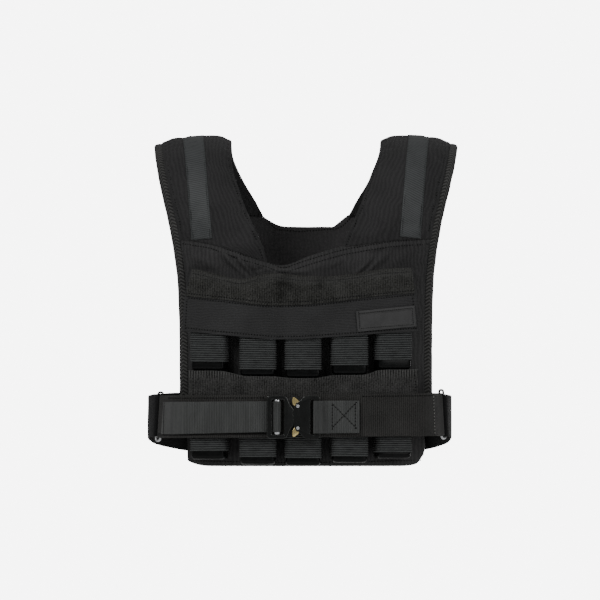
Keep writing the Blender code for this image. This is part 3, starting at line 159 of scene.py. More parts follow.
class Finish:
    """Principled surface whose colour and relief come from patterns, measured in metres along the piece."""

    def __init__(self, name, roughness, metallic=0.0, sheen=0.0, coat=0.0, specular=0.5):
        self.material = bpy.data.materials.new(name)
        self.material.use_nodes = True
        self.tree = self.material.node_tree
        self.shader = self.tree.nodes["Principled BSDF"]
        values = {
            "Roughness": roughness,
            "Metallic": metallic,
            "Sheen Weight": sheen,
            "Coat Weight": coat,
            "Specular IOR Level": specular,
        }
        for socket, value in values.items():
            self.shader.inputs[socket].default_value = value
        self.place = self.add("TexCoord").outputs["Object"]
        flat = self.add("UVMap", uv_map="cloth")
        split = self.add("SeparateXYZ", {"Vector": flat.outputs[0]})
        self.flat = flat.outputs[0]
        self.u = split.outputs["X"]
        self.v = split.outputs["Y"]

    def add(self, kind, inputs=None, **settings):
        """New node with its options set and its inputs joined or set."""
        node = self.tree.nodes.new("ShaderNode" + kind)
        for option, value in settings.items():
            setattr(node, option, value)
        for socket, value in (inputs or {}).items():
            self.feed(node.inputs[socket], value)
        return node

    def feed(self, socket, value):
        """Joins a socket to another, or sets its number."""
        if isinstance(value, bpy.types.NodeSocket):
            self.tree.links.new(value, socket)
        else:
            socket.default_value = value

    def math(self, operation, *values):
        """One step of arithmetic."""
        node = self.add("Math", operation=operation)
        for socket, value in zip(node.inputs, values):
            self.feed(socket, value)
        return node.outputs[0]

    def wave(self, along, pitch):
        """Sine between 0 and 1 along a distance."""
        swing = self.math("SINE", self.math("MULTIPLY", along, 2 * math.pi / pitch))
        return self.math("MULTIPLY_ADD", swing, 0.5, 0.5)

    def noise(self, size, detail=2.0, stretch=(1, 1, 1), vector=None):
        """Soft random pattern with grains of a size."""
        scale = tuple(share / size for share in stretch)
        moved = self.add("Mapping", {"Vector": vector or self.place, "Scale": scale})
        texture = self.add("TexNoise", {"Vector": moved.outputs[0], "Scale": 1.0, "Detail": detail})
        return texture.outputs["Fac"]

    def blend(self, *parts):
        """Sum of patterns, each with its weight."""
        total = None
        for pattern, weight in parts:
            if total is None:
                total = self.math("MULTIPLY", pattern, weight)
            else:
                total = self.math("MULTIPLY_ADD", pattern, weight, total)
        return total

    def paint(self, share, dark, light):
        """Base colour that runs from dark to light with a pattern."""
        mix = self.add("Mix", data_type="RGBA", clamp_factor=True)
        self.feed(mix.inputs[0], share)
        mix.inputs[6].default_value = (*dark, 1)
        mix.inputs[7].default_value = (*light, 1)
        self.feed(self.shader.inputs["Base Color"], mix.outputs[2])

    def emboss(self, height, depth):
        """Relief from a pattern, `depth` deep between its 0 and 1."""
        bump = self.add("Bump", {"Height": height, "Distance": depth, "Strength": 1.0})
        self.feed(self.shader.inputs["Normal"], bump.outputs[0])

    def dull(self, share, low, high):
        """Roughness that runs between two values with a pattern."""
        self.feed(self.shader.inputs["Roughness"], self.math("MULTIPLY_ADD", share, high - low, low))


def canvas_finish(name, dark, light, rib_pitch, rib_along="v", rib_weight=0.25):
    """Plain-woven nylon canvas with faint broader ribs and worn, uneven dye."""
    cloth = Finish(name, 0.9, sheen=0.04, specular=0.12)
    over = cloth.math("SINE", cloth.math("MULTIPLY", cloth.u, 2 * math.pi / THREAD_PITCH))
    under = cloth.math("SINE", cloth.math("MULTIPLY", cloth.v, 2 * math.pi / THREAD_PITCH))
    weave = cloth.math("MULTIPLY_ADD", cloth.math("MULTIPLY", over, under), 0.5, 0.5)
    drift = cloth.noise(0.030, 3.0)
    along = cloth.v if rib_along == "v" else cloth.u
    ribs = cloth.wave(cloth.math("MULTIPLY_ADD", drift, rib_pitch * 3, along), rib_pitch)
    grain = cloth.noise(0.0016, 2.0, vector=cloth.flat)
    clouds = cloth.noise(0.055, 4.0)
    share = cloth.blend((weave, 0.25), (ribs, rib_weight), (grain, 0.55), (clouds, 0.9))
    cloth.paint(cloth.math("SUBTRACT", share, 0.45), dark, light)
    cloth.emboss(cloth.blend((weave, 0.6), (grain, 0.8), (ribs, rib_weight)), 0.00035)
    return cloth.material


# Painted light: a paler copy of the back canvas for the inner face, which the front panel shades.
BACK_INSIDE_PAINTED_LIGHT = canvas_finish(
    "back_inside_painted_light", (0.0189, 0.0183, 0.0189), (0.0590, 0.0572, 0.0584),
    rib_pitch=0.0056, rib_along="u", rib_weight=0.10,
)
BACK_CANVAS = canvas_finish(
    "back_canvas", (0.0095, 0.0095, 0.0098), (0.0290, 0.0285, 0.0290),
    rib_pitch=0.0056, rib_along="u", rib_weight=0.20,
)


def along_arch(points):
    """Distance from the top of the shoulder down the front (negative) or the back of the torso."""
    out = np.abs(points[:, 1]) / TORSO_HALF_DEPTH
    up = np.maximum(points[:, 2] + ARCH_HEIGHT, 0) / ARCH_HEIGHT
    angle = np.arctan2(out, up)
    down = np.maximum(-ARCH_HEIGHT - points[:, 2], 0)
    return np.sign(points[:, 1]) * (angle * ARCH_RADIUS + down)


def places(mesh):
    """Places of a mesh's points."""
    flat = np.empty(len(mesh.vertices) * 3)
    mesh.vertices.foreach_get("co", flat)
    return flat.reshape(-1, 3)


def move_to(mesh, points):
    """Puts a mesh's points in new places."""
    mesh.vertices.foreach_set("co", points.ravel())
    mesh.update()


def facings(mesh):
    """Outward directions at a mesh's points."""
    flat = np.empty(len(mesh.vertices) * 3)
    mesh.vertex_normals.foreach_get("vector", flat)
    return flat.reshape(-1, 3)


def lay_flat(mesh, u, v):
    """Cloth coordinates, in metres along the piece, from one pair of numbers for each point."""
    corners = np.empty(len(mesh.loops), np.int32)
    mesh.loops.foreach_get("vertex_index", corners)
    layer = mesh.uv_layers.new(name="cloth")
    layer.data.foreach_set("uv", np.stack([u[corners], v[corners]], 1).ravel())


def show(name, mesh, material, nodes):
    """Finished piece that stands for its solids and rides with the vest."""
    if material is not None:
        mesh.materials.clear()
        mesh.materials.append(material)
    mesh.shade_smooth()
    piece = linked(name, mesh)
    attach(piece, "vest")
    if nodes:
        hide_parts(*nodes)
    return piece


def converted(piece):
    """Plain mesh of an object as its modifiers leave it. The object is cleared away."""
    graph = bpy.context.evaluated_depsgraph_get()
    mesh = bpy.data.meshes.new_from_object(piece.evaluated_get(graph))
    bpy.data.objects.remove(piece, do_unlink=True)
    return mesh


def finer(mesh, levels=1):
    """Mesh subdivided smoothly."""
    piece = linked("finer", mesh)
    modifier = piece.modifiers.new("smooth", "SUBSURF")
    modifier.levels = levels
    modifier.render_levels = levels
    return converted(piece)


def refined(node, levels, crease=0.6):
    """Smooth fine copy of a solid: its corners merged, its triangles paired, then subdivided."""
    build = bmesh.new()
    build.from_mesh(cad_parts[node].data)
    bmesh.ops.remove_doubles(build, verts=build.verts, dist=SAME_PLACE)
    bmesh.ops.join_triangles(build, faces=build.faces, angle_face_threshold=0.9, angle_shape_threshold=2.2)
    layer = build.edges.layers.float.new("crease_edge")
    for edge in build.edges:
        if edge.calc_face_angle(0.0) > CREASE_ANGLE:
            edge[layer] = crease
    mesh = bpy.data.meshes.new(node)
    build.to_mesh(mesh)
    build.free()
    return finer(mesh, levels)


def ripples(points, seed, size):
    """Soft random height field between -1 and 1, the same each run."""
    random = np.random.default_rng(seed)
    total = np.zeros(len(points))
    for _ in range(RIPPLE_DIRECTIONS):
        direction = random.normal(size=3)
        direction /= np.linalg.norm(direction)
        length = size * random.uniform(0.6, 1.6)
        total += np.sin(points @ direction * (2 * math.pi / length) + random.uniform(0, 2 * math.pi))
    return total / RIPPLE_DIRECTIONS


def push(mesh, amount):
    """Moves each point along its outward direction."""
    move_to(mesh, places(mesh) + facings(mesh) * np.asarray(amount)[:, None])


back_mesh = refined("back_panel", 3, crease=0.95)
back_points = places(back_mesh)
broad_ripples = ripples(back_points, seed=3, size=0.09) * 0.0011
fine_ripples = ripples(back_points, seed=4, size=0.035) * 0.0004
push(back_mesh, broad_ripples + fine_ripples)
lay_flat(back_mesh, back_points[:, 0], along_arch(back_points))
back_panel = show("back_panel_cloth", back_mesh, BACK_INSIDE_PAINTED_LIGHT, ["back_panel"])
# Outer faces take the canvas; the rest keep the painted-light copy.
back_mesh.materials.append(BACK_CANVAS)
for face in back_mesh.polygons:
    face.material_index = int(face.normal.y > OUTSIDE_FACING)


# Shoulder straps.
# Wide padded straps of the same canvas over a thicker foam, sewn to both panels. They crease softly across
# where they turn over the shoulder, and the sewn ends pull small gathers into the cloth.
SWELL_PRESSURE = 3.0
SWELL_CAP = 0.0016
SWELL_FRAMES = 16
STRAP_ACROSS = 0.095
STRAP_SEWN = 0.016
STRAP_TUCK = 0.0038
SIDES = ((-1, "left"), (1, "right"))
RIM_ANGLE = math.radians(30)
SWELL_RIM = 0.010
STRAP_RIM = 0.012
STRAP_STEPS = 80
END_STEPS = 40
END_MARGIN = 0.002
NEAR_ALONG = 0.012
NEAR_ACROSS = 0.004
STRAP_GROWTH = 0.03
CREASE_PITCH = 0.011
CREASE_DEPTH = 0.00035
CREASE_REACH = 0.035
SHOULDER_CANVAS = canvas_finish(
    "shoulder_canvas", (0.0095, 0.0095, 0.0098), (0.029, 0.0285, 0.0290),
    rib_pitch=0.0052, rib_along="u", rib_weight=0.32,
)


def swollen(mesh, held, growth):
    """Mesh after its cloth has swelled round the padding, held where `held` is 1, by cloth simulation."""
    piece = linked("swelling", mesh)
    group = piece.vertex_groups.new(name="held")
    for index, weight in enumerate(held):
        group.add([index], float(weight), "REPLACE")
    modifier = piece.modifiers.new("cloth", "CLOTH")
    cloth = modifier.settings
    cloth.quality = 4
    cloth.mass = 0.2
    cloth.tension_stiffness = 12
    cloth.compression_stiffness = 12
    cloth.shear_stiffness = 4
    cloth.bending_stiffness = 0.05
    cloth.vertex_group_mass = "held"
    cloth.use_pressure = True
    cloth.uniform_pressure_force = SWELL_PRESSURE
    cloth.shrink_min = -growth
    cloth.shrink_max = -growth
    cloth.effector_weights.gravity = 0
    modifier.point_cache.frame_start = 1
    modifier.point_cache.frame_end = SWELL_FRAMES
    scene = bpy.context.scene
    for step in range(1, SWELL_FRAMES + 1):
        scene.frame_set(step)
    rest = places(mesh)
    moved_mesh = converted(piece)
    scene.frame_set(1)
    shift = places(moved_mesh) - rest
    reach = np.linalg.norm(shift, axis=1, keepdims=True)
    capped = shift * np.minimum(1.0, SWELL_CAP / np.maximum(reach, 1e-9))
    move_to(moved_mesh, rest + capped)
    return moved_mesh


def near_rim(mesh, points, reach):
    """1 at the sewn rims of a padded piece, fading to 0 at `reach` from them."""
    build = bmesh.new()
    build.from_mesh(mesh)
    rims = [edge for edge in build.edges if edge.calc_face_angle(0.0) > RIM_ANGLE]
    middles = sorted({tuple(vertex.co) for edge in rims for vertex in edge.verts})
    build.free()
    from_rims = KDTree(len(middles))
    for index, place in enumerate(middles):
        from_rims.insert(place, index)
    from_rims.balance()
    away = np.array([from_rims.find(point)[2] for point in points])
    return np.clip(1 - away / reach, 0, 1)


def strap_share(points, along):
    """Place of each point between a strap's inner edge, 0, and its outer edge, 1."""
    stops = np.linspace(along.min(), along.max(), STRAP_STEPS)
    across = np.abs(points[:, 0])
    edges = []
    for stop in stops:
        near = across[np.abs(along - stop) < NEAR_ALONG]
        edges.append((near.min(), near.max()))
    inner, outer = np.array(edges).T
    inner = np.interp(along, stops, inner)
    outer = np.interp(along, stops, outer)
    return (across - inner) / (outer - inner)


def near_ends(points, along):
    """1 at the two sewn ends of a strap, fading to 0 at `STRAP_SEWN` from them."""
    across = np.abs(points[:, 0])
    stops = np.linspace(across.min() + END_MARGIN, across.max() - END_MARGIN, END_STEPS)
    ends = []
    for stop in stops:
        near = along[np.abs(across - stop) < NEAR_ACROSS]
        ends.append((near.min(), near.max()))
    front, back = np.array(ends).T
    from_front = along - np.interp(across, stops, front)
    from_back = np.interp(across, stops, back) - along
    return np.clip(1 - np.minimum(from_front, from_back) / STRAP_SEWN, 0, 1)


def make_shoulder(side, word):
    """One strap: swelled round its foam, then creased where it turns over the shoulder."""
    node = f"shoulder_{word}"
    mesh = refined(node, 2)
    rims = near_rim(mesh, places(mesh), SWELL_RIM)
    mesh = swollen(mesh, rims, STRAP_GROWTH)
    mesh = finer(mesh)
    points = places(mesh)
    along = along_arch(points)
    rims = near_rim(mesh, points, STRAP_RIM)
    loose = 1 - rims
    turn = np.exp(-((along / CREASE_REACH) ** 2))
    creases = np.sin(along * (2 * math.pi / CREASE_PITCH) + ripples(points, 11 + side, 0.05) * 2.2)
    amount = ripples(points, 7 + side, 0.06) * 0.0012 + creases * CREASE_DEPTH * (0.25 + turn)
    push(mesh, amount * loose)
    sewn = near_ends(points, along)
    move_to(mesh, places(mesh) - np.outer(sewn * STRAP_TUCK, (0, 0, 1)))
    lay_flat(mesh, strap_share(points, along) * STRAP_ACROSS, along)
    strap = show(f"shoulder_{word}_cloth", mesh, SHOULDER_CANVAS, [node])
    return strap


shoulders = {side: make_shoulder(side, word) for side, word in SIDES}


# Seams.
# Lockstitches of thick polyester thread, between two and three to the centimetre, sunk slightly in the
# cloth. Each stitch leaves a small dark needle hole at its end.
STITCH_PITCH = 0.0038
STITCH_LENGTH = 0.0024
STITCH_WIDTH = 0.0008
HOLE_WIDTH = 0.0021
HOLE_LENGTH = 0.0019
HOLE_DEPTH = 0.0011
SEWN_RISE = 0.0001


def thread_finish(name, dark, light):
    """Twisted sewing thread."""
    thread = Finish(name, 0.8, sheen=0.03, specular=0.12)
    twist = thread.noise(0.0012, 2.0)
    thread.paint(twist, dark, light)
    thread.emboss(thread.noise(0.0005, 1.0), 0.0001)
    return thread.material


THREAD = thread_finish("thread", (0.012, 0.012, 0.012), (0.036, 0.036, 0.037))
HOLES = thread_finish("needle_holes", (0.0012, 0.0012, 0.0012), (0.0025, 0.0025, 0.0025))


def stitching_tree():
    """Geometry Nodes group that lays stitches, with a dark needle hole between them, along lines of edges."""
    tree = bpy.data.node_groups.new("stitching", "GeometryNodeTree")
    sockets = tree.interface
    sockets.new_socket("Geometry", in_out="INPUT", socket_type="NodeSocketGeometry")
    for name in ("Pitch", "Length", "Width", "Hole Width"):
        sockets.new_socket(name, in_out="INPUT", socket_type="NodeSocketFloat")
    for name in ("Thread", "Hole"):
        sockets.new_socket(name, in_out="INPUT", socket_type="NodeSocketMaterial")
    sockets.new_socket("Geometry", in_out="OUTPUT", socket_type="NodeSocketGeometry")
    given = tree.nodes.new("NodeGroupInput")
    result = tree.nodes.new("NodeGroupOutput")

    def step(kind, *joins, **settings):
        node = tree.nodes.new(kind)
        for option, value in settings.items():
            setattr(node, option, value)
        for socket, source in joins:
            if isinstance(source, bpy.types.NodeSocket):
                tree.links.new(source, node.inputs[socket])
            else:
                node.inputs[socket].default_value = source
        return node

    pitch = given.outputs["Pitch"]
    line = step("GeometryNodeMeshToCurve", ("Mesh", given.outputs["Geometry"]))
    spaced = step("GeometryNodeResampleCurve", ("Curve", line.outputs[0]), ("Length", pitch), mode="LENGTH")
    bead = step("GeometryNodeMeshIcoSphere", ("Radius", 0.5), ("Subdivisions", 1))
    width = given.outputs["Width"]
    size = step("ShaderNodeCombineXYZ", ("X", given.outputs["Length"]), ("Y", width), ("Z", width))
    tangent = step("GeometryNodeInputTangent")
    along = step("FunctionNodeAlignRotationToVector", ("Vector", tangent.outputs[0]), axis="X")
    outward = step("GeometryNodeInputNamedAttribute", ("Name", "out"), data_type="FLOAT_VECTOR")
    turned = step(
        "FunctionNodeAlignRotationToVector",
        ("Rotation", along.outputs[0]),
        ("Vector", outward.outputs[0]),
        axis="Z",
        pivot_axis="X",
    )
    copies = step(
        "GeometryNodeInstanceOnPoints",
        ("Points", spaced.outputs[0]),
        ("Instance", bead.outputs[0]),
        ("Rotation", turned.outputs[0]),
        ("Scale", size.outputs[0]),
    )
    half = step("ShaderNodeMath", (0, pitch), (1, 0.5), operation="MULTIPLY")
    ahead = ("Scale", half.outputs[0])
    onward = step("ShaderNodeVectorMath", (0, tangent.outputs[0]), ahead, operation="SCALE")
    between = step("GeometryNodeSetPosition", ("Geometry", spaced.outputs[0]), ("Offset", onward.outputs[0]))
    broad = given.outputs["Hole Width"]
    pit_size = step("ShaderNodeCombineXYZ", ("X", HOLE_LENGTH), ("Y", broad), ("Z", HOLE_DEPTH))
    pits = step(
        "GeometryNodeInstanceOnPoints",
        ("Points", between.outputs[0]),
        ("Instance", bead.outputs[0]),
        ("Rotation", turned.outputs[0]),
        ("Scale", pit_size.outputs[0]),
    )
    marked = step(
        "GeometryNodeStoreNamedAttribute",
        ("Geometry", pits.outputs[0]),
        ("Name", "hole"),
        ("Value", True),
        data_type="BOOLEAN",
        domain="INSTANCE",
    )
    both = step("GeometryNodeJoinGeometry", ("Geometry", copies.outputs[0]))
    tree.links.new(marked.outputs[0], both.inputs[0])
    is_hole = step("GeometryNodeInputNamedAttribute", ("Name", "hole"), data_type="BOOLEAN")
    real = step("GeometryNodeRealizeInstances", ("Geometry", both.outputs[0]))
    yarn = ("Material", given.outputs["Thread"])
    threads = step("GeometryNodeSetMaterial", ("Geometry", real.outputs[0]), yarn)
    painted = step(
        "GeometryNodeSetMaterial",
        ("Geometry", threads.outputs[0]),
        ("Selection", is_hole.outputs[0]),
        ("Material", given.outputs["Hole"]),
    )
    tree.links.new(painted.outputs[0], result.inputs[0])
    return tree


STITCHING = stitching_tree()


def sew(name, lines, thread=THREAD, width=STITCH_WIDTH, pitch=STITCH_PITCH, hole=HOLE_WIDTH):
    """Stitches along lines of (place, outward direction) pairs, as one mesh that rides with the vest."""
    corners = []
    outward = []
    edges = []
    for line in lines:
        for index, (place, out) in enumerate(line):
            if index:
                edges.append((len(corners) - 1, len(corners)))
            corners.append(place + out * SEWN_RISE)
            outward.append(out)
    guide = bpy.data.meshes.new(name)
    guide.from_pydata(corners, edges, [])
    layer = guide.attributes.new("out", "FLOAT_VECTOR", "POINT")
    layer.data.foreach_set("vector", np.array(outward).ravel())
    piece = linked(name, guide)
    modifier = piece.modifiers.new("stitching", "NODES")
    modifier.node_group = STITCHING
    values = {
        "Pitch": pitch,
        "Length": pitch * STITCH_LENGTH / STITCH_PITCH,
        "Width": width,
        "Hole Width": hole,
        "Thread": thread,
        "Hole": HOLES,
    }
    for item in STITCHING.interface.items_tree:
        if item.in_out == "INPUT" and item.name in values:
            modifier[item.identifier] = values[item.name]
    return show(name, converted(piece), None, [])


RAY_START = 0.4
RAY_REACH = 0.345
SEARCH_FROM = 20
SEARCH_TO = 215
SEAM_STEPS = 60


def surface_of(*pieces):
    """Search tree over the finished surfaces of some pieces."""
    corners = []
    faces = []
    for piece in pieces:
        first = len(corners)
        corners.extend(vertex.co.copy() for vertex in piece.data.vertices)
        faces.extend([first + index for index in face.vertices] for face in piece.data.polygons)
    return BVHTree.FromPolygons(corners, faces)


def under_arch(tree, across, along):
    """Place and outward direction of the cloth, at a distance across and along the torso's arch.

    The search comes from outside and stops short of the cloth on the torso's far side.
    """
    angle = min(abs(along) / ARCH_RADIUS, math.pi / 2)
    below = max(abs(along) - ARCH_RADIUS * math.pi / 2, 0)
    back = math.copysign(1, along)
    out = Vector((0, back * math.sin(angle), math.cos(angle)))
    start = Vector((across, 0, -ARCH_HEIGHT - below)) + out * RAY_START
    place, normal, _, _ = tree.ray_cast(start, -out, RAY_REACH)
    if place is None:
        return None
    return place, normal if normal.dot(out) > 0 else -normal


def extent(tree, along, side):
    """Smallest and largest distance across at which a strap is met, to the millimetre."""
    reaches = [reach / 1000 for reach in range(SEARCH_FROM, SEARCH_TO)]
    met = [reach for reach in reaches if under_arch(tree, side * reach, along) is not None]
    return (met[0], met[-1]) if met else None


def smooth_line(line):
    """Line with the jitter of its search taken out."""
    if len(line) < 5:
        return line
    eased = []
    for index in range(len(line)):
        near = line[max(index - 2, 0) : index + 3]
        middle = sum((point for point, _ in near), Vector()) / len(near)
        eased.append((middle, sum((normal for _, normal in near), Vector()).normalized()))
    eased[0] = line[0]
    eased[-1] = line[-1]
    return eased


def strap_seam(tree, side, inset, start, stop, outer):
    """Line at an inset from a strap's inner or outer edge, between two distances along the arch."""
    line = []
    for step in range(SEAM_STEPS + 1):
        along = start + (stop - start) * step / SEAM_STEPS
        found = extent(tree, along, side)
        if found is None:
            continue
        across = found[1] - inset if outer else found[0] + inset
        hit = under_arch(tree, side * across, along)
        if hit is not None:
            line.append(hit)
    return smooth_line(line)


def make_strap_seams():
    """Topstitching along the inner and outer edges of both straps."""
    lines = []
    for side, strap in shoulders.items():
        tree = surface_of(strap)
        for outer, inset in ((False, 0.0045), (True, 0.0040)):
            lines.append(strap_seam(tree, side, inset, start=-0.245, stop=0.150, outer=outer))
    return sew("strap_seams", lines)


make_strap_seams()


# Armhole binding.
# Herringbone cotton tape, 20 mm wide, folded over the raw armhole edge and sewn down from hem to hem.
# Its lower ends are tucked away behind the belt.
BINDING_HALF = 0.004
BINDING_OVERLAP = 0.0034
BINDING_TUCK_ROW = 430
BINDING_TUCK_SHARE = 0.85
BINDING_STEPS = 60


def herringbone_finish(name, dark, light):
    """Herringbone tape: slanting ribs that turn back along the middle."""
    tape = Finish(name, 0.9, sheen=0.05, specular=0.12)
    half = tape.math("PINGPONG", tape.u, 0.0042)
    slant = tape.math("MULTIPLY_ADD", half, 1.1, tape.v)
    ribs = tape.wave(slant, 0.0048)
    threads = tape.wave(tape.math("SUBTRACT", tape.v, half), 0.0008)
    grain = tape.noise(0.0011, 2.0)
    clouds = tape.noise(0.03, 3.0)
    share = tape.blend((ribs, 0.75), (threads, 0.12), (grain, 0.25), (clouds, 0.35))
    tape.paint(tape.math("SUBTRACT", share, 0.25), dark, light)
    tape.emboss(tape.blend((ribs, 0.8), (threads, 0.15), (grain, 0.3)), 0.0006)
    return tape.material


BINDING_TAPE = herringbone_finish("binding_tape", (0.005, 0.005, 0.005), (0.056, 0.0555, 0.0535))


def edge_track(points, along):
    """Middle of a long narrow piece across, at evenly spaced distances along it."""
    stops = np.linspace(along.min(), along.max(), BINDING_STEPS)
    middles = []
    for stop in stops:
        near = np.abs(along - stop) < NEAR_ALONG
        middles.append((points[near, 0].min() + points[near, 0].max()) / 2)
    return stops, np.array(middles)


def make_binding(side, word):
    """Folded tape round one armhole, slightly gathered where it turns over the shoulder."""
    node = f"binding_{word}"
    mesh = refined(node, 3, crease=0.35)
    points = places(mesh)
    along = along_arch(points)
    centre = np.interp(along, *edge_track(points, along))
    amount = ripples(points, 21 + side, 0.030) * 0.0004 + ripples(points, 23, 0.012) * 0.00015
    push(mesh, amount)
    inner = np.clip((centre - points[:, 0]) * side / BINDING_HALF, 0, 1)
    folded = places(mesh) - np.outer(inner * BINDING_OVERLAP * side, (1, 0, 0))
    below = np.minimum(folded[:, 2] - photo_z(BINDING_TUCK_ROW), 0)
    folded[:, 2] -= below * BINDING_TUCK_SHARE
    move_to(mesh, folded)
    lay_flat(mesh, points[:, 0] - centre, along)
    return show(f"binding_{word}_tape", mesh, BINDING_TAPE, [node])


bindings = {side: make_binding(side, word) for side, word in SIDES}


def make_binding_seams():
    """The seam that closes each folded tape, near its inner edge."""
    lines = []
    for side, binding in bindings.items():
        tree = surface_of(binding)
        lines.append(strap_seam(tree, side, inset=0.0018, start=-0.455, stop=0.430, outer=False))
    return sew("binding_seams", lines, width=0.0006, pitch=0.0030, hole=0.0012)


make_binding_seams()


# Reflective strips.
# Grey glass-bead tape with a fine diagonal twill, topstitched along both edges down each shoulder strap.
# It runs over the shoulder and ends behind it.
STRIP_THICKNESS = 0.0009
STRIP_GAP = 0.0002
STRIP_ROWS = 150
STRIP_COLUMNS = 9


def reflective_finish():
    """Silver-grey tape, duller where its beads have rubbed off."""
    tape = Finish("reflective_tape", 0.5, sheen=0.04, specular=0.25)
    twill = tape.wave(tape.math("MULTIPLY_ADD", tape.u, 0.35, tape.v), 0.0030)
    fine = tape.wave(tape.math("SUBTRACT", tape.u, tape.v), 0.0010)
    grain = tape.noise(0.0009, 2.0)
    worn = tape.noise(0.022, 4.0)
    share = tape.blend((twill, 0.65), (fine, 0.2), (grain, 0.35), (worn, 0.6))
    tape.paint(tape.math("SUBTRACT", share, 0.42), (0.012, 0.0132, 0.0135), (0.047, 0.0505, 0.0515))
    tape.emboss(tape.blend((twill, 0.6), (grain, 0.4)), 0.00022)
    tape.dull(worn, 0.45, 0.70)
    return tape.material


REFLECTIVE_TAPE = reflective_finish()


def make_reflective_strip(side, word):
    """One strip, laid over the dips of its strap."""
    node = f"reflective_strip_{word}"
    track = refined(node, 2, crease=0.9)
    points = places(track)
    along = along_arch(points)
    stops, middles = edge_track(points, along)
    half = (np.percentile(points[:, 0] - np.interp(along, stops, middles), 99.5)) - STRIP_GAP
    tree = surface_of(shoulders[side])
    build = bmesh.new()
    flat = {}
    rows = []
    for stop in np.linspace(along.min() + END_MARGIN, along.max() - END_MARGIN, STRIP_ROWS):
        centre = np.interp(stop, stops, middles)
        over = []
        under = []
        for share in np.linspace(-1, 1, STRIP_COLUMNS):
            hit = under_arch(tree, centre + share * half, stop)
            if hit is None:
                continue
            edge = 0.6 if abs(share) > 0.99 else 1.0
            for row, rise in ((over, STRIP_GAP + STRIP_THICKNESS * edge), (under, STRIP_GAP * 0.5)):
                vertex = build.verts.new(hit[0] + hit[1] * rise)
                flat[vertex] = (share * half, stop)
                row.append(vertex)
        if len(over) == STRIP_COLUMNS:
            rows.append(over + under[::-1])
    for low, high in zip(rows, rows[1:]):
        for index in range(len(low)):
            after = (index + 1) % len(low)
            build.faces.new((low[index], low[after], high[after], high[index]))
    build.faces.new(rows[0])
    build.faces.new(rows[-1])
    bmesh.ops.recalc_face_normals(build, faces=build.faces)
    loose = [vertex for vertex in build.verts if not vertex.link_faces]
    bmesh.ops.delete(build, geom=loose, context="VERTS")
    build.verts.index_update()
    kept = np.array([flat[vertex] for vertex in build.verts])
    mesh = bpy.data.meshes.new(node)
    build.to_mesh(mesh)
    build.free()
    lay_flat(mesh, kept[:, 0], kept[:, 1])
    return show(f"reflective_strip_{word}_tape", mesh, REFLECTIVE_TAPE, [node])


strips = {side: make_reflective_strip(side, word) for side, word in SIDES}


def make_strip_seams():
    """Stitches along both edges of each strip."""
    lines = []
    for side, strip in strips.items():
        tree = surface_of(strip)
        for outer in (False, True):
            lines.append(strap_seam(tree, side, inset=0.0019, start=-0.250, stop=0.145, outer=outer))
    return sew("strip_seams", lines, width=0.0006, pitch=0.0030, hole=0.0007)


make_strip_seams()


# Front panel.
# Padded canvas with a shallow V along its top, where a turned edge is sewn to the straps with two rows of
# stitches. The cloth above the flap hangs in soft slanting folds and puckers along the seam.
FRONT_CANVAS = canvas_finish(
    "front_canvas", (0.0116, 0.0116, 0.0119), (0.0383, 0.0377, 0.0380),
    rib_pitch=0.0050, rib_along="u", rib_weight=0.35,
)
# Places and half sizes in pixels, the slant in degrees from upright, and the height in millimetres.
Fold = namedtuple("Fold", "column row half_length half_width slant height")
PANEL_FOLDS = (
    Fold(233, 262, 17, 2.8, 46, 6.8),
    Fold(238, 265, 15, 2.3, 46, -6.6),
    Fold(243, 262, 15, 2.8, 40, 6.0),
    Fold(247, 266, 12, 2.1, 40, -5.2),
    Fold(225, 257, 12, 3.0, 42, 2.4),
    Fold(255, 268, 10, 2.6, 35, 2.6),
    Fold(288, 271, 16, 2.8, 88, 4.4),
    Fold(283, 267, 12, 2.2, 78, -3.0),
    Fold(262, 266, 12, 2.6, 60, 2.4),
    Fold(374, 264, 14, 2.6, -42, 3.4),
    Fold(369, 266, 11, 2.2, -46, -3.0),
    Fold(362, 268, 11, 2.6, -50, 2.4),
    Fold(384, 258, 10, 3.0, -40, 2.0),
    Fold(205, 262, 15, 4.0, 62, 2.0),
    Fold(320, 266, 15, 3.4, -70, 1.8),
    Fold(336, 263, 14, 3.0, -62, 1.6),
    Fold(405, 256, 16, 5.0, -55, 1.6),
)
FOLDS_LOWEST_ROW = 283
PANEL_GROWTH = 0.02
PANEL_RIM = 0.009
CORNER_TOP = (432, 444)
CORNER_FOOT = (416, 467)
CORNER_EASE = 0.004


def panel_folds(points):
    """Height of the folds over the front panel."""
    total = np.zeros(len(points))
    for fold in PANEL_FOLDS:
        right = (points[:, 0] - photo_x(fold.column)) / PIXEL
        down = (photo_z(fold.row) - points[:, 2]) / PIXEL
        turn = math.radians(fold.slant)
        far = right * math.sin(turn) + down * math.cos(turn)
        beside = right * math.cos(turn) - down * math.sin(turn)
        spread = (far / fold.half_length) ** 2 + (beside / fold.half_width) ** 2
        total += fold.height / 1000 * np.exp(-spread)
    return total


def round_corner(mesh, levels):
    """Cuts the lower corner at +X back to the slanting line that it has in the photograph."""
    rounded = places(mesh)
    top, foot = photo_z(CORNER_TOP[1]), photo_z(CORNER_FOOT[1])
    cut = np.clip((top - levels) / (top - foot), 0, 1)
    limit = photo_x(CORNER_TOP[0]) + cut * (photo_x(CORNER_FOOT[0]) - photo_x(CORNER_TOP[0]))
    past = np.maximum(rounded[:, 0] - (limit - CORNER_EASE), 0)
    rounded[:, 0] -= (past - CORNER_EASE * (1 - np.exp(-past / CORNER_EASE))) * (cut > 0)
    move_to(mesh, rounded)


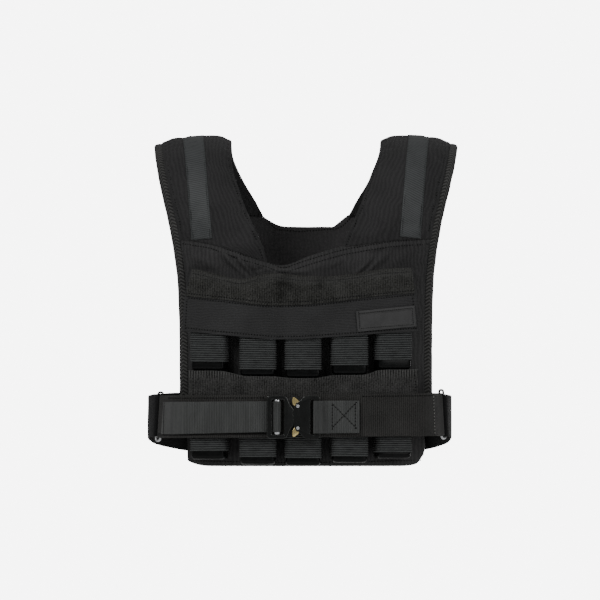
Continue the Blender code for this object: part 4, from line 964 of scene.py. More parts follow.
def make_front_panel():
    """The panel with its folds above the flap."""
    mesh = refined("front_panel", 2)
    rims = near_rim(mesh, places(mesh), SWELL_RIM)
    mesh = swollen(mesh, rims, PANEL_GROWTH)
    mesh = finer(mesh)
    points = places(mesh)
    loose = 1 - near_rim(mesh, points, PANEL_RIM)
    shown = np.clip((points[:, 2] - photo_z(FOLDS_LOWEST_ROW)) / 0.010, 0, 1) * (points[:, 1] < 0)
    low = 1 - shown
    amount = panel_folds(points) * shown + ripples(points, 41, 0.05) * 0.0007 * (0.3 + shown)
    front = (facings(mesh)[:, 1] < 0) * loose
    push(mesh, amount * front * (1 - 0.8 * low))
    round_corner(mesh, points[:, 2])
    lay_flat(mesh, points[:, 0], along_arch(points))
    panel = show("front_panel_cloth", mesh, FRONT_CANVAS, ["front_panel"])
    return panel


front_panel = make_front_panel()
# Column and row of each corner of the upper row of stitches along the panel's top.
FRONT_SEAM_POINTS = (
    (182, 238.5), (210, 243.0), (243, 255.0), (267, 262.0), (283, 268.5), (303, 261.5), (319, 256.5),
    (342, 250.0), (369, 245.0), (392, 241.5), (428, 239.0),
)
SEAM_ROWS_APART = 5.0
FOOT_SEAM = ((186, 461.0), (300, 463.0), (424, 460.5))


def front_hit(tree, column, row):
    """Place and outward direction of the cloth behind a pixel of the photograph."""
    place, normal, _, _ = tree.ray_cast(Vector((photo_x(column), -1, photo_z(row))), Vector((0, 1, 0)))
    if place is None:
        return None
    return place, normal if normal.y < 0 else -normal


def front_line(tree, corners, step=2.0):
    """Line over the cloth through pixels of the photograph, eased round its corners."""
    columns = np.array([corner[0] for corner in corners], float)
    rows = np.array([corner[1] for corner in corners], float)
    far = np.concatenate([[0], np.cumsum(np.hypot(np.diff(columns), np.diff(rows)))])
    stops = np.linspace(0, far[-1], max(int(far[-1] / step), 2))
    line = []
    for column, row in zip(np.interp(stops, far, columns), np.interp(stops, far, rows)):
        hit = front_hit(tree, column, row)
        if hit is not None:
            line.append(hit)
    return line


def make_front_seams():
    """Two rows of stitches along the top edge, and one along the foot."""
    tree = surface_of(front_panel)
    lower = [(column, row + SEAM_ROWS_APART) for column, row in FRONT_SEAM_POINTS]
    rows = (FRONT_SEAM_POINTS, lower, FOOT_SEAM)
    return sew("front_seams", [smooth_line(front_line(tree, row)) for row in rows])


make_front_seams()
# Columns and rows of the seams that show inside the back, through the neck opening.
BACK_NECK_SEAM = ((259.5, 212), (275, 228.5), (298, 231), (339, 228), (347, 222), (355, 211))
BACK_STRAP_SEAMS = (((249, 215), (262, 215)), ((350, 215), (358, 215)))
INSIDE_DEPTH = 0.02


def inner_line(tree, corners):
    """Line over the inner face of the back, through pixels of the photograph, found from inside the vest."""
    line = []
    for first, last in zip(corners, corners[1:]):
        steps = max(int(math.dist(first, last) / 2), 1)
        for step in range(steps):
            share = step / steps
            column = first[0] + (last[0] - first[0]) * share
            row = first[1] + (last[1] - first[1]) * share
            start = Vector((photo_x(column), INSIDE_DEPTH, photo_z(row)))
            place, normal, _, _ = tree.ray_cast(start, Vector((0, 1, 0)))
            if place is not None:
                line.append((place, normal if normal.y < 0 else -normal))
    return line


def make_back_seams():
    """Stitches inside the back neckline, and across the sewn ends of the straps."""
    tree = surface_of(back_panel, *shoulders.values())
    lines = [inner_line(tree, row) for row in (BACK_NECK_SEAM, *BACK_STRAP_SEAMS)]
    return sew("back_seams", [smooth_line(line) for line in lines])


make_back_seams()


# Iron blocks.
# Ten cast blocks with rounded edges, dipped in glossy black enamel. They stand in two rows, and the ends
# that show below the sleeves are scuffed where they have rubbed on each other.
def enamel_finish():
    """Thick glossy enamel with a faint orange-peel surface."""
    enamel = Finish("block_coating", 0.25, specular=0.09, coat=0.03)
    enamel.shader.inputs["Coat Roughness"].default_value = 0.12
    peel = enamel.noise(0.0026, 2.0)
    scuffs = enamel.noise(0.008, 5.0, stretch=(1, 1, 3))
    share = enamel.math("MULTIPLY_ADD", scuffs, 1.6, -0.7)
    enamel.paint(share, (0.0015, 0.0017, 0.0017), (0.005, 0.0055, 0.0055))
    enamel.emboss(peel, 0.00005)
    enamel.dull(scuffs, 0.20, 0.42)
    return enamel.material


BARE_STEP = 0.0015
BARE_SWELL = 0.0013
ENAMEL = enamel_finish()
for row_name in ("upper", "lower"):
    for number in range(1, 6):
        node = f"weight_{row_name}_{number}"
        block_mesh = refined(node, 2, crease=0.35)
        sleeve_foot = places(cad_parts[f"sleeve_{row_name}_{number}"].data)[:, 2].min()
        bare = np.clip((sleeve_foot - places(block_mesh)[:, 2]) / BARE_STEP, 0, 1)
        push(block_mesh, bare * BARE_SWELL)
        lay_flat(block_mesh, places(block_mesh)[:, 0], places(block_mesh)[:, 2])
        show(f"{node}_iron", block_mesh, ENAMEL, [node])


# Elastic sleeves.
# Each block is gripped by a tube of heavy ribbed elastic. Its cords run round the block as ribs 3 mm apart,
# with fine knitted threads across them, and they stand out as small teeth along the sleeve's sides.
RIB_PITCH = 0.0030
RIB_DEPTH = 0.0013
RIB_CREST = 0.0006
RIB_STEPS = 5
RIB_UNEVEN = 0.00025
RIB_WOBBLE = 0.00010
RIB_TILT = 0.00035
SLEEVE_ROUND = 0.0062
SLEEVE_WALL = 0.0012
SLEEVE_CORNER_STEPS = 7
SLEEVE_ACROSS = 7


def elastic_finish():
    """Grey knitted elastic with painted light on its rib crests and painted shade in the hollows between, and
    fine threads across.
    """
    elastic = Finish("elastic", 0.88, sheen=0.03, specular=0.10)
    # Painted light and shade: the colour runs with the ribs of the sleeve's shape, pale on their crests and
    # dark in the hollows.
    rib = elastic.wave(elastic.math("SUBTRACT", elastic.v, RIB_PITCH / 4), RIB_PITCH)
    threads = elastic.wave(elastic.u, 0.0009)
    grain = elastic.noise(0.0011, 2.0)
    streaks = elastic.noise(0.0030, 3.0, stretch=(0.25, 1, 1), vector=elastic.flat)
    clouds = elastic.noise(0.025, 3.0)
    share = elastic.blend((rib, 0.85), (threads, 0.12), (grain, 0.3), (streaks, 0.7), (clouds, 0.4))
    elastic.paint(elastic.math("SUBTRACT", share, 0.62), (0.0030, 0.0032, 0.0032), (0.054, 0.0565, 0.0565))
    elastic.emboss(elastic.blend((threads, 0.5), (grain, 0.5), (streaks, 0.4)), 0.00025)
    return elastic.material


ELASTIC = elastic_finish()


def sleeve_outline(half_width, half_depth, corner):
    """Rounded rectangle as (right, out) pairs, in order round it."""
    outline = []
    sides = ((1, 1), (-1, 1), (-1, -1), (1, -1))
    for quarter, (right, out) in enumerate(sides):
        for step in range(SLEEVE_CORNER_STEPS):
            angle = math.pi / 2 * (quarter + step / (SLEEVE_CORNER_STEPS - 1))
            outline.append(
                (
                    right * (half_width - corner) + corner * math.cos(angle),
                    out * (half_depth - corner) + corner * math.sin(angle),
                )
            )
        after = sides[(quarter + 1) % 4]
        start = outline[-1]
        angle = math.pi / 2 * (quarter + 1)
        stop = (
            after[0] * (half_width - corner) + corner * math.cos(angle),
            after[1] * (half_depth - corner) + corner * math.sin(angle),
        )
        for step in range(1, SLEEVE_ACROSS):
            share = step / SLEEVE_ACROSS
            outline.append((start[0] + (stop[0] - start[0]) * share, start[1] + (stop[1] - start[1]) * share))
    return np.array(outline)


def sleeve_right(spread):
    """Direction along a sleeve's wide side, from its corners seen from above."""
    angles = np.linspace(-0.6, 0.6, 121)
    areas = []
    for angle in angles:
        right = np.array([math.cos(angle), math.sin(angle)])
        out = np.array([right[1], -right[0]])
        areas.append(np.ptp(spread @ right) * np.ptp(spread @ out))
    best = angles[int(np.argmin(areas))]
    return np.array([math.cos(best), math.sin(best)])


def make_sleeve(node, seed):
    """Ribbed tube in the place of one sleeve's solid, with its small irregular stretch."""
    corners = places(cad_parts[node].data)
    top = corners[:, 2].max()
    bottom = corners[:, 2].min()
    middle = (corners[:, :2].max(0) + corners[:, :2].min(0)) / 2
    spread = corners[:, :2] - middle
    right = sleeve_right(spread)
    out = np.array([right[1], -right[0]])
    half_width = np.abs(spread @ right).max()
    half_depth = np.abs(spread @ out).max()
    random = np.random.default_rng(seed)
    outline = sleeve_outline(half_width, half_depth, SLEEVE_ROUND)
    count = len(outline)
    steps = int(round((top - bottom) / RIB_PITCH * RIB_STEPS))
    levels = np.linspace(bottom, top, steps + 1)
    around = np.concatenate([[0], np.cumsum(np.linalg.norm(np.diff(outline, axis=0), axis=1))])
    normal = outline / np.array([half_width, half_depth])
    normal = np.sign(normal) * np.abs(normal) ** 8
    normal /= np.linalg.norm(normal, axis=1, keepdims=True)
    drift = random.uniform(-1, 1, (steps // RIB_STEPS + 2, 2))
    rings = []
    flat = []
    for level in levels:
        rib = (level - bottom) / RIB_PITCH
        swing = 0.5 - 0.5 * math.cos(2 * math.pi * rib)
        stretch, phase = drift[int(rib)]
        depth = RIB_DEPTH * (swing - 1.0) + RIB_CREST + stretch * RIB_UNEVEN
        wobble = np.sin(around * 90 + phase * 6) * RIB_WOBBLE
        ring = outline + normal * (depth + wobble)[:, None]
        place = middle + ring[:, :1] * right + ring[:, 1:] * out
        tilt = np.sin(around * 40 + seed) * RIB_TILT
        rings.append(np.column_stack([place, np.clip(level + tilt, bottom, top)]))
        flat.append(np.column_stack([around, np.full(count, level - bottom)]))
    inner = outline - normal * SLEEVE_WALL
    for level in (top, bottom):
        place = middle + inner[:, :1] * right + inner[:, 1:] * out
        rings.append(np.column_stack([place, np.full(count, level)]))
        flat.append(np.column_stack([around, np.full(count, level - bottom)]))
    vertices = np.concatenate(rings)
    faces = []
    rows = len(rings)
    for row in range(rows):
        low = row * count
        high = (row + 1) % rows * count
        for index in range(count):
            after = (index + 1) % count
            faces.append((low + index, low + after, high + after, high + index))
    mesh = bpy.data.meshes.new(node)
    mesh.from_pydata(vertices.tolist(), [], faces)
    build = bmesh.new()
    build.from_mesh(mesh)
    bmesh.ops.recalc_face_normals(build, faces=build.faces)
    build.to_mesh(mesh)
    build.free()
    flat = np.concatenate(flat)
    lay_flat(mesh, flat[:, 0], flat[:, 1])
    return show(f"{node}_elastic", mesh, ELASTIC, [node])


for row_name in ("upper", "lower"):
    for number in range(1, 6):
        make_sleeve(f"sleeve_{row_name}_{number}", number + (10 if row_name == "upper" else 20))


# Upper flap.
# A flap of plain canvas hangs over the upper row. A band of loop pile is sewn along its top, whose edge
# waves where the cloth is fuller than the panel, and the hem and sides are turned and stitched.
FLAP_CREASE_COLUMN = 280
FLAP_CREASE_WIDTH = 0.0055
FLAP_CREASE = 0.0022
GATHER_LIGHT_PITCH = 0.0036
GATHER_LIGHT_LENGTH = 0.012
GATHER_LIGHT_WEIGHT = 1.3
GAP_SHADE_WEIGHT = 0.36
PILE_SHADE = 1.44
# Where painted shade darkens the band, in the dips between the blocks behind it, and how far round that
# place.
GapShade = namedtuple("GapShade", "across up radius")
PAINTED_GAP_SHADE = (
    GapShade(photo_x(284), photo_z(283), 0.014),
    GapShade(photo_x(280), photo_z(297), 0.012),
    GapShade(photo_x(320), photo_z(284), 0.010),
)
FLAP_CANVAS = canvas_finish(
    "flap_canvas", (0.0128, 0.0128, 0.0131), (0.0336, 0.0336, 0.0342),
    rib_pitch=0.0035, rib_along="v", rib_weight=0.28,
)


def pile_finish(name, dark, light, rib_pitch, rib_weight, gather_light_level=None, gap_shade=()):
    """Brushed loop pile: matted tufts with dark gaps and faint ribs of its ground.

    Painted light and shade of small gathers stand out at `gather_light_level` and fade below it. Painted
    shade darkens the pile round each place in `gap_shade`.
    """
    pile = Finish(name, 0.95, sheen=0.05, specular=0.06)
    pile.shader.inputs["Sheen Roughness"].default_value = 0.5
    tufts = pile.noise(0.0021, 4.0, vector=pile.flat)
    fine = pile.noise(0.0008, 2.0, vector=pile.flat)
    ribs = pile.wave(pile.math("MULTIPLY_ADD", pile.noise(0.01, 2.0), 0.0015, pile.u), rib_pitch)
    matted = pile.noise(0.016, 5.0)
    share = pile.blend((tufts, 1.6), (fine, 1.0), (ribs, rib_weight), (matted, 0.8))
    # Painted light and shade: pale and dark upright stripes near the top stand for the gathers' folds
    # catching the light.
    if gather_light_level is not None:
        above_foot = pile.math("SUBTRACT", pile.v, gather_light_level - GATHER_LIGHT_LENGTH)
        near_top = pile.math("MULTIPLY", above_foot, 1 / GATHER_LIGHT_LENGTH)
        near_top = pile.math("MINIMUM", pile.math("MAXIMUM", near_top, 0.0), 1.0)
        gather_light = pile.math("MULTIPLY", pile.math("SUBTRACT", pile.wave(pile.u, GATHER_LIGHT_PITCH), 0.4), near_top)
        share = pile.math("MULTIPLY_ADD", gather_light, GATHER_LIGHT_WEIGHT, share)
    where = pile.add("SeparateXYZ", {"Vector": pile.place})
    # Painted shade where the band sinks into the gaps between the blocks behind it.
    for spot in gap_shade:
        right = pile.math("SUBTRACT", where.outputs["X"], spot.across)
        above = pile.math("SUBTRACT", where.outputs["Z"], spot.up)
        away = pile.math("SQRT", pile.math("MULTIPLY_ADD", right, right, pile.math("MULTIPLY", above, above)))
        gap_shaded = pile.math("MAXIMUM", pile.math("MULTIPLY_ADD", away, -1 / spot.radius, 1.0), 0.0)
        share = pile.math("MULTIPLY_ADD", gap_shaded, -GAP_SHADE_WEIGHT, share)
    pile.paint(pile.math("SUBTRACT", share, PILE_SHADE), dark, light)
    pile.emboss(pile.blend((tufts, 1.0), (fine, 0.6), (ribs, rib_weight)), 0.0007)
    return pile.material


LOOP_PILE = pile_finish(
    "loop_pile", (0.0055, 0.0055, 0.0050), (0.0500, 0.0498, 0.0472),
    rib_pitch=0.0032, rib_weight=0.3, gap_shade=PAINTED_GAP_SHADE,
)


def make_flap_piece(node, name, material):
    """Smooth sheet in the place of a flap's solid, with soft dips between the blocks behind it."""
    mesh = refined(node, 3, crease=0.95)
    points = places(mesh)
    dips = ripples(points, 51, 0.045) * 0.0005
    dips -= np.exp(-(((points[:, 0] - photo_x(FLAP_CREASE_COLUMN)) / FLAP_CREASE_WIDTH) ** 2)) * FLAP_CREASE
    move_to(mesh, points + np.outer(dips, (0.0, -1.0, 0.0)))
    lay_flat(mesh, points[:, 0], points[:, 2])
    return show(name, mesh, material, [node])


upper_flap = make_flap_piece("flap_cover", "flap_cover_cloth", FLAP_CANVAS)
loop_band = make_flap_piece("flap_loop_band", "flap_loop_band_pile", LOOP_PILE)

# Columns and rows of the flap's seams.
FLAP_SEAM = ((188, 293.5), (224, 297.3), (266, 302.3), (310, 301.5), (357, 296.0), (412, 290.5))
FLAP_ROWS_APART = 4.5
FLAP_HEM = ((185, 327.8), (237, 333.2), (275, 336.4), (300, 336.2), (354, 332.8), (415, 328.3))
FLAP_TOP = (
    (192, 273.5), (207, 276.5), (225, 281.0), (237, 284.0), (248, 283.0), (257, 279.0), (271, 277.0),
    (303, 281.0), (326, 281.0), (349, 279.0), (371, 275.5), (392, 273.0), (410, 272.0),
)
FLAP_LEFT = ((187.0, 300.0), (185.4, 327.0))
FLAP_RIGHT = ((412.6, 297.0), (415.4, 327.0))


def make_flap_seams():
    """Two rows of stitches where the band meets the plain cloth, and one along each edge."""
    tree = surface_of(upper_flap, loop_band)
    second = [(column, row + FLAP_ROWS_APART) for column, row in FLAP_SEAM]
    rows = (FLAP_SEAM, second, FLAP_HEM, FLAP_TOP, FLAP_LEFT, FLAP_RIGHT)
    return sew("flap_seams", [smooth_line(front_line(tree, row)) for row in rows])


make_flap_seams()


# Patch.
# A soft rubber patch, moulded with a raised border round a sunken field. It is stitched on near the
# flap's end.
PATCH_LEAN = math.atan2(-1.0, 10.4)
PATCH_BORDER = 0.0040
PATCH_SLOPE = 0.0009
PATCH_SUNK = 0.0010
PATCH_ROUND = 0.0012
PATCH_EDGE_DROP = 0.0004
PATCH_SEAM = ((358.6, 313.6), (412.2, 308.0), (413.4, 324.4), (359.9, 328.6), (358.6, 313.6))


def patch_finish():
    """Satin moulded rubber with fine pits and paler dust in its hollows."""
    rubber = Finish("patch_rubber", 0.55, specular=0.2)
    dust = rubber.noise(0.012, 4.0)
    pits = rubber.noise(0.0012, 2.0)
    rubber.paint(rubber.blend((dust, 0.9), (pits, 0.3)), (0.013, 0.013, 0.013), (0.040, 0.040, 0.0405))
    rubber.emboss(pits, 0.00012)
    rubber.dull(dust, 0.40, 0.65)
    return rubber.material


def make_patch():
    """The patch with its moulded border."""
    mesh = refined("patch", 4, crease=1.0)
    points = places(mesh)
    across, _, level = (points - (points.max(0) + points.min(0)) / 2).T
    right = across * math.cos(PATCH_LEAN) - level * math.sin(PATCH_LEAN)
    up = across * math.sin(PATCH_LEAN) + level * math.cos(PATCH_LEAN)
    inside = np.minimum(np.abs(right).max() - np.abs(right), np.abs(up).max() - np.abs(up))
    front = facings(mesh)[:, 1] < -0.5
    step = np.clip((inside - PATCH_BORDER) / PATCH_SLOPE, 0, 1)
    outer = np.clip(inside / PATCH_ROUND, 0, 1)
    amount = -(step * step * (3 - 2 * step)) * PATCH_SUNK - (1 - outer) * PATCH_EDGE_DROP
    push(mesh, amount * front)
    lay_flat(mesh, points[:, 0], points[:, 2])
    return show("patch_rubber_plate", mesh, patch_finish(), ["patch"])


patch_line = front_line(surface_of(make_patch()), PATCH_SEAM, step=1.0)
sew("patch_seams", [patch_line], width=0.0006, pitch=0.0030, hole=0.0010)


# Lower flap.
# A second flap, faced all over with loop pile, covers the lower row. Its top edge is gathered on to the
# panel under the upper blocks, so small tucks run down from it.
TUCKS_ROW = 371
TUCK_PITCH = 0.0062
TUCK_DEPTH = 0.0011
TUCK_LENGTH = 0.016
GATHER_LIGHT_ROW = 371.5
LOWER_FLAP_RIGHT = ((415.0, 374.0), (415.6, 392.0))
LOWER_FLAP_LEFT = ((193.0, 374.0), (193.0, 393.0))


def make_lower_flap():
    """The flap with its gathers, which fade away downwards."""
    mesh = refined("lower_flap", 4, crease=0.9)
    points = places(mesh)
    down = np.clip((photo_z(TUCKS_ROW) - points[:, 2]) / TUCK_LENGTH, 0, 1)
    tucks = np.sin(points[:, 0] * (2 * math.pi / TUCK_PITCH) + ripples(points * (1, 0, 0), 62, 0.05) * 3.0)
    amount = tucks * TUCK_DEPTH * (1 - down) + ripples(points, 63, 0.05) * 0.0006
    move_to(mesh, points + np.outer(amount, (0.0, -1.0, 0.0)))
    lay_flat(mesh, points[:, 0], points[:, 2])
    pile = pile_finish(
        "lower_pile", (0.0066, 0.0066, 0.0064), (0.0516, 0.0510, 0.0498),
        rib_pitch=0.0032, rib_weight=0.3, gather_light_level=photo_z(GATHER_LIGHT_ROW),
    )
    return show("lower_flap_pile", mesh, pile, ["lower_flap"])


lower_flap = make_lower_flap()
lower_flap_tree = surface_of(lower_flap)
sew("lower_flap_seams", [front_line(lower_flap_tree, edge) for edge in (LOWER_FLAP_LEFT, LOWER_FLAP_RIGHT)])


# Side wings.
# Canvas wings come round the wearer's sides from the back panel. Each one narrows towards the front and
# its hemmed end is sewn round a wire ring.
WAIST_STEPS = 60
# Dark cloth, painted darker still as painted shade, since the wings lie in shade at the sides.
WING_CANVAS_SHADED = canvas_finish(
    "wing_canvas_shaded", (0.003, 0.003, 0.0032), (0.010, 0.010, 0.0105),
    rib_pitch=0.0048, rib_along="v", rib_weight=0.2,
)


def waist_run(points):
    """Distance of each point round the waist from the middle of the front, measured along its piece."""
    turn = np.arctan2(points[:, 0], -points[:, 1])
    bins = np.linspace(turn.min() - 1e-6, turn.max() + 1e-6, WAIST_STEPS + 1)
    chosen = np.digitize(turn, bins)
    middles = []
    for index in range(1, WAIST_STEPS + 1):
        inside = chosen == index
        if inside.any():
            middles.append((turn[inside].mean(), *points[inside, :2].mean(0)))
    middles = np.array(middles)
    far = np.concatenate([[0], np.cumsum(np.linalg.norm(np.diff(middles[:, 1:], axis=0), axis=1))])
    far -= np.interp(0, middles[:, 0], far)
    return np.interp(turn, middles[:, 0], far)


def make_ribbon(node, name, material, seed, wrinkle):
    """Smooth ribbon in the place of a flat belt piece, with its cloth coordinates round the waist."""
    mesh = refined(node, 3, crease=0.9)
    points = places(mesh)
    run = waist_run(points)
    push(mesh, ripples(points, seed, 0.045) * wrinkle)
    lay_flat(mesh, run, points[:, 2])
    return show(name, mesh, material, [node])


for side, word in SIDES:
    wing = make_ribbon(f"wing_{word}", f"wing_{word}_cloth", WING_CANVAS_SHADED, 71 + side, 0.0006)
    wing_points = places(wing.data)
    cut = (float(np.ptp(waist_run(wing_points))), float(np.ptp(wing_points[:, 2])))


# Wire rings.
# Rectangular rings bent from 3.4 mm steel wire and plated bright. They join the wings to the belt.
# Their colour is near black above a given row and bright below it, at their lower bends.
RING_BRIGHT_ROW = 436.5
RING_DARK = (0.012, 0.012, 0.012)
RING_BRIGHT = (0.70, 0.71, 0.72)


def ring_finish():
    """Plated wire, near black above a given row and bright below it at its lower bend."""
    ring = Finish("ring_steel", 0.50, metallic=1.0)
    marks = ring.noise(0.0012, 3.0, stretch=(1, 1, 0.15))
    height = ring.add("SeparateXYZ", {"Vector": ring.place}).outputs["Z"]
    below_row = ring.math("LESS_THAN", height, photo_z(RING_BRIGHT_ROW))
    share = ring.math("MULTIPLY_ADD", marks, 0.06, ring.math("MULTIPLY", below_row, 0.7))
    ring.paint(share, RING_DARK, RING_BRIGHT)
    return ring.material


RING_STEEL = ring_finish()


for _, word in SIDES:
    ring_mesh = refined(f"ring_{word}", 1, crease=0.0)
    lay_flat(ring_mesh, places(ring_mesh)[:, 0], places(ring_mesh)[:, 2])
    show(f"ring_{word}_wire", ring_mesh, RING_STEEL, [f"ring_{word}"])


# Belt.
# Two lengths of loop webbing, 58 mm wide. Each goes round its ring, is sewn back on itself, and ends
# under the buckle. Fine cords run across the webbing and short loops stand on its face.
# A painted shadow lies on the belt along the lower edge of the left strap, which stands off the belt there.
STRAP_SHADOW_ROW = 432.2
STRAP_SHADOW_SLOPE = 0.018
STRAP_SHADOW_WIDTH = 0.0022
STRAP_SHADOW_END = 266


def belt_finish():
    """Woven loop webbing: upright cords, a pile of short loops, and a painted shadow under the left strap's
    edge.
    """
    belt = Finish("belt_webbing", 0.95, sheen=0.05, specular=0.08)
    cords = belt.wave(belt.u, 0.0029)
    loops = belt.noise(0.0016, 3.0, vector=belt.flat)
    fine = belt.noise(0.0007, 1.0, vector=belt.flat)
    rubbed = belt.noise(0.040, 3.0)
    share = belt.blend((cords, 0.40), (loops, 0.95), (fine, 0.35), (rubbed, 0.5))
    where = belt.add("SeparateXYZ", {"Vector": belt.place})
    # Painted shadow: a dark line on the belt just under the left strap's lower edge, as far as the buckle.
    edge = belt.math("MULTIPLY_ADD", where.outputs["X"], STRAP_SHADOW_SLOPE, photo_z(STRAP_SHADOW_ROW))
    away = belt.math("ABSOLUTE", belt.math("SUBTRACT", where.outputs["Z"], edge))
    near = belt.math("MAXIMUM", belt.math("MULTIPLY_ADD", away, -1 / STRAP_SHADOW_WIDTH, 1.0), 0.0)
    strap_shadow = belt.math("MULTIPLY", near, belt.math("LESS_THAN", where.outputs["X"], photo_x(STRAP_SHADOW_END)))
    share = belt.math("MULTIPLY_ADD", strap_shadow, -1.6, share)
    belt.paint(belt.math("SUBTRACT", share, 0.72), (0.0075, 0.0074, 0.0071), (0.0450, 0.0440, 0.0422))
    belt.emboss(belt.blend((cords, 0.7), (loops, 0.9), (fine, 0.4)), 0.0006)
    return belt.material


BELT_WEBBING = belt_finish()
belts = {}
for side, word in SIDES:
    name = f"belt_{word}_webbing"
    belts[side] = make_ribbon(f"belt_{word}", name, BELT_WEBBING, 81 + side, 0.0004)


# Buckle straps.
# Heavy ribbed webbing, 44 mm wide. The left strap lies along the whole belt and turns round the adjuster
# bar. The right one turns round the buckle's rail and is sewn down with a crossed box.
STRAP_HEIGHT = 0.044
STRAP_RISE = 0.0024
STRAP_RISE_START = 165
STRAP_RISE_END = 262
STRAP_MIDDLE_ROW = 417.5


def strap_finish():
    """Close upright ribs with broad paler and darker stretches, shiny where the webbing has been pulled."""
    strap = Finish("strap_webbing", 0.75, sheen=0.08, specular=0.2)
    ribs = strap.wave(strap.u, 0.0024)
    threads = strap.wave(strap.v, 0.0011)
    grain = strap.noise(0.0010, 2.0, vector=strap.flat)
    bands = strap.noise(0.030, 2.0, stretch=(1, 0.12, 1), vector=strap.flat)
    streaks = strap.noise(0.0045, 3.0, stretch=(1, 0.10, 1), vector=strap.flat)
    share = strap.blend((ribs, 0.40), (threads, 0.10), (grain, 0.25), (bands, 0.9), (streaks, 0.5))
    strap.paint(strap.math("SUBTRACT", share, 0.62), (0.0100, 0.0108, 0.0106), (0.0640, 0.0665, 0.0650))
    strap.emboss(strap.blend((ribs, 0.9), (threads, 0.2), (grain, 0.3)), 0.0004)
    strap.dull(bands, 0.62, 0.85)
    return strap.material


STRAP_WEBBING = strap_finish()


def raise_lower_edge(mesh):
    """Narrows the left strap a little towards the buckle, from its lower edge up."""
    points = places(mesh)
    start, end = photo_x(STRAP_RISE_START), photo_x(STRAP_RISE_END)
    nearer = np.clip((points[:, 0] - start) / (end - start), 0, 1)
    lower = np.clip((photo_z(STRAP_MIDDLE_ROW) - points[:, 2]) / (STRAP_HEIGHT / 2), 0, 1)
    points[:, 2] += nearer * lower * STRAP_RISE
    move_to(mesh, points)


straps = {}
for side, word in SIDES:
    name = f"strap_{word}_webbing"
    straps[side] = make_ribbon(f"strap_{word}", name, STRAP_WEBBING, 91 + side, 0.00025)
raise_lower_edge(straps[-1].data)

# Columns and rows of the belt's seams. The box's right side stands a little higher than its left one.
BOX_LEFT = 332.3
BOX_RIGHT = 355.3
BOX_TOP = 403.8
BOX_BOTTOM = 427.4
BOX_LIFT = 0.6
LEFT_END_SEAM = ((164.0, 402), (163.4, 433))
LEFT_EDGE_SEAM = ((168, 398.2), (262, 397.6))
RIGHT_EDGE_SEAM = ((362, 396.2), (432, 395.6))
RIGHT_END_SEAM = ((433.6, 397), (434.9, 433))
BELT_THREAD = thread_finish("belt_thread", (0.006, 0.006, 0.006), (0.020, 0.020, 0.020))


def make_belt_seams():
    """The crossed box, the row that closes the webbing at the left ring, and both upper edges."""
    tree = surface_of(*straps.values(), *belts.values())
    left_top, left_foot = (BOX_LEFT, BOX_TOP), (BOX_LEFT, BOX_BOTTOM)
    right_top, right_foot = (BOX_RIGHT, BOX_TOP - BOX_LIFT), (BOX_RIGHT, BOX_BOTTOM - BOX_LIFT)
    rows = (
        (left_top, left_foot),
        (right_top, right_foot),
        (left_top, right_foot),
        (left_foot, right_top),
        LEFT_END_SEAM,
        RIGHT_EDGE_SEAM,
        LEFT_EDGE_SEAM,
    )
    lines = [front_line(tree, row, step=1.0) for row in rows]
    return sew("belt_seams", lines, BELT_THREAD, width=0.0010, pitch=0.0040, hole=0.0023)


make_belt_seams()
PALE_THREAD = thread_finish("pale_thread", (0.100, 0.100, 0.095), (0.320, 0.315, 0.300))
right_row = front_line(surface_of(belts[1]), RIGHT_END_SEAM, step=1.0)
sew("belt_end_seam", [right_row], PALE_THREAD, width=0.0012, pitch=0.0044, hole=0.0020)


# Buckle.
# Two forged aluminium halves, anodised black, with all their edges broken. The tongue of the left half
# sits in the right half, and the adjuster bar is a bright steel rod held in the left half's slot.
EDGE_BREAK = 0.0009
ROD_EDGE_BREAK = 0.0003
BREAK_ANGLE = math.radians(24)
FLAT_ANGLE = math.radians(0.6)
SMOOTH_ANGLE = math.radians(35)
HEAD_LENGTH = 0.003
HEAD_SPREAD = 0.45


def anodised_finish(name, dark, light, roughness, metallic):
    """Black anodised aluminium with a fine satin grain."""
    metal = Finish(name, roughness, metallic=metallic, specular=0.25)
    grain = metal.noise(0.0010, 3.0, stretch=(1, 1, 0.3))
    clouds = metal.noise(0.014, 3.0)
    metal.paint(metal.blend((grain, 0.4), (clouds, 0.6)), dark, light)
    metal.emboss(grain, 0.00004)
    metal.dull(clouds, roughness * 0.8, roughness * 1.3)
    return metal.material


def steel_finish(name, dark, light, roughness):
    """Bright plated steel with fine drawing marks and a few dull spots."""
    steel = Finish(name, roughness, metallic=1.0)
    marks = steel.noise(0.0012, 3.0, stretch=(1, 1, 0.15))
    spots = steel.noise(0.006, 4.0)
    steel.paint(steel.blend((marks, 0.5), (spots, 0.5)), dark, light)
    steel.emboss(marks, 0.00006)
    steel.dull(spots, roughness * 0.7, roughness * 1.5)
    return steel.material


BRIGHT_STEEL = steel_finish("bright_steel", (0.38, 0.39, 0.40), (0.74, 0.75, 0.76), 0.24)
BLACK_ANODISED = anodised_finish(
    "black_anodised", (0.0024, 0.0027, 0.0026), (0.0076, 0.0084, 0.0080), roughness=0.42, metallic=0.5
)
# Painted highlight: the broken edges take a paler, glossier metal so they show as bright lines along the
# buckle's rims.
EDGE_HIGHLIGHT_METAL = anodised_finish(
    "edge_highlight_metal", (0.030, 0.031, 0.030), (0.140, 0.143, 0.140), roughness=0.25, metallic=1.0
)


def broken_edges(node, width, segments):
    """Copy of a hard piece with every sharp edge rounded. The rounded faces take its second material."""
    build = bmesh.new()
    build.from_mesh(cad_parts[node].data)
    bmesh.ops.remove_doubles(build, verts=build.verts, dist=SAME_PLACE)
    bmesh.ops.dissolve_limit(build, angle_limit=FLAT_ANGLE, verts=build.verts, edges=build.edges)
    mesh = bpy.data.meshes.new(node)
    build.to_mesh(mesh)
    build.free()
    piece = linked(node, mesh)
    modifier = piece.modifiers.new("edges", "BEVEL")
    modifier.width = width
    modifier.segments = segments
    modifier.limit_method = "ANGLE"
    modifier.angle_limit = BREAK_ANGLE
    modifier.use_clamp_overlap = True
    modifier.material = 1
    mesh.materials.append(None)
    mesh.materials.append(None)
    return converted(piece)


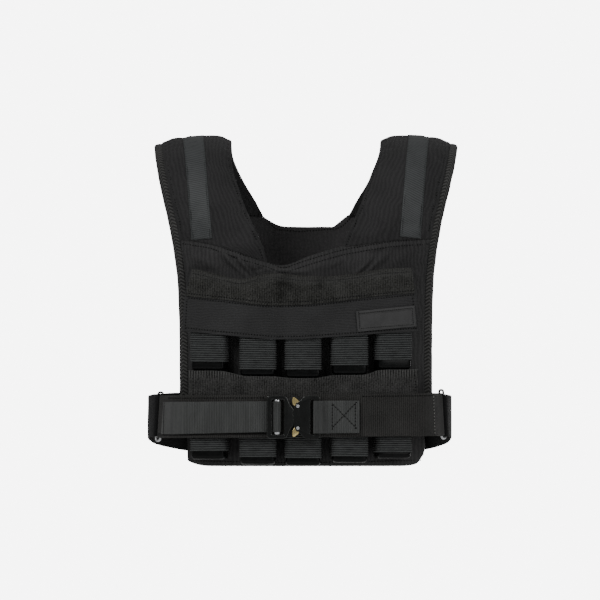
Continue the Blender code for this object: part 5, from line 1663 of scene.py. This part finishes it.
def make_metal(name, node, material, body="vest", edge=None, width=EDGE_BREAK, segments=2, head=0.0):
    """Metal piece with broken edges, riding on one body. A rod's two ends are spread into heads."""
    mesh = broken_edges(node, width, segments)
    points = places(mesh)
    middle = (points.max(0) + points.min(0)) / 2
    at_end = np.abs(points[:, 2] - middle[2]) > np.ptp(points[:, 2]) / 2 - HEAD_LENGTH
    points[at_end, 0] += (points[at_end, 0] - middle[0]) * head
    move_to(mesh, points)
    lay_flat(mesh, points[:, 0], points[:, 2])
    mesh.materials[0] = material
    mesh.materials[1] = edge or material
    mesh.shade_smooth()
    mesh.set_sharp_from_angle(angle=SMOOTH_ANGLE)
    piece = linked(name, mesh)
    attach(piece, body)
    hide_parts(node)
    return piece


make_metal("buckle_frame_metal", "buckle_frame", BLACK_ANODISED, edge=EDGE_HIGHLIGHT_METAL)
make_metal("buckle_body_metal", "buckle_body", BLACK_ANODISED, edge=EDGE_HIGHLIGHT_METAL)
make_metal(
    "adjuster_bar_metal", "adjuster_bar", BRIGHT_STEEL, width=ROD_EDGE_BREAK, head=HEAD_SPREAD
)


# Release clips and rivets.
# Two spring-loaded clips of gold-coloured metal turn on bright rivets. Pressing both together frees the
# tongue. Their thumb edges are rounded and polished by use.
CLIP_EDGE_BREAK = 0.00045


def gold_finish():
    """Polished gold-coloured metal with fine scratches."""
    gold = Finish("gold_metal", 0.20, metallic=1.0)
    scratches = gold.noise(0.0016, 4.0, stretch=(1, 1, 0.1))
    clouds = gold.noise(0.008, 3.0)
    gold.paint(gold.blend((scratches, 0.4), (clouds, 0.6)), (0.40, 0.30, 0.11), (0.80, 0.67, 0.34))
    gold.emboss(scratches, 0.00005)
    gold.dull(scratches, 0.12, 0.32)
    return gold.material


GOLD = gold_finish()
for word in ("upper", "lower"):
    clip, rivet, body = f"clip_{word}", f"rivet_{word}", f"{word}_clip"
    make_metal(f"{clip}_metal", clip, GOLD, body=body, width=CLIP_EDGE_BREAK, segments=3)
    make_metal(f"{rivet}_metal", rivet, BRIGHT_STEEL, width=ROD_EDGE_BREAK)
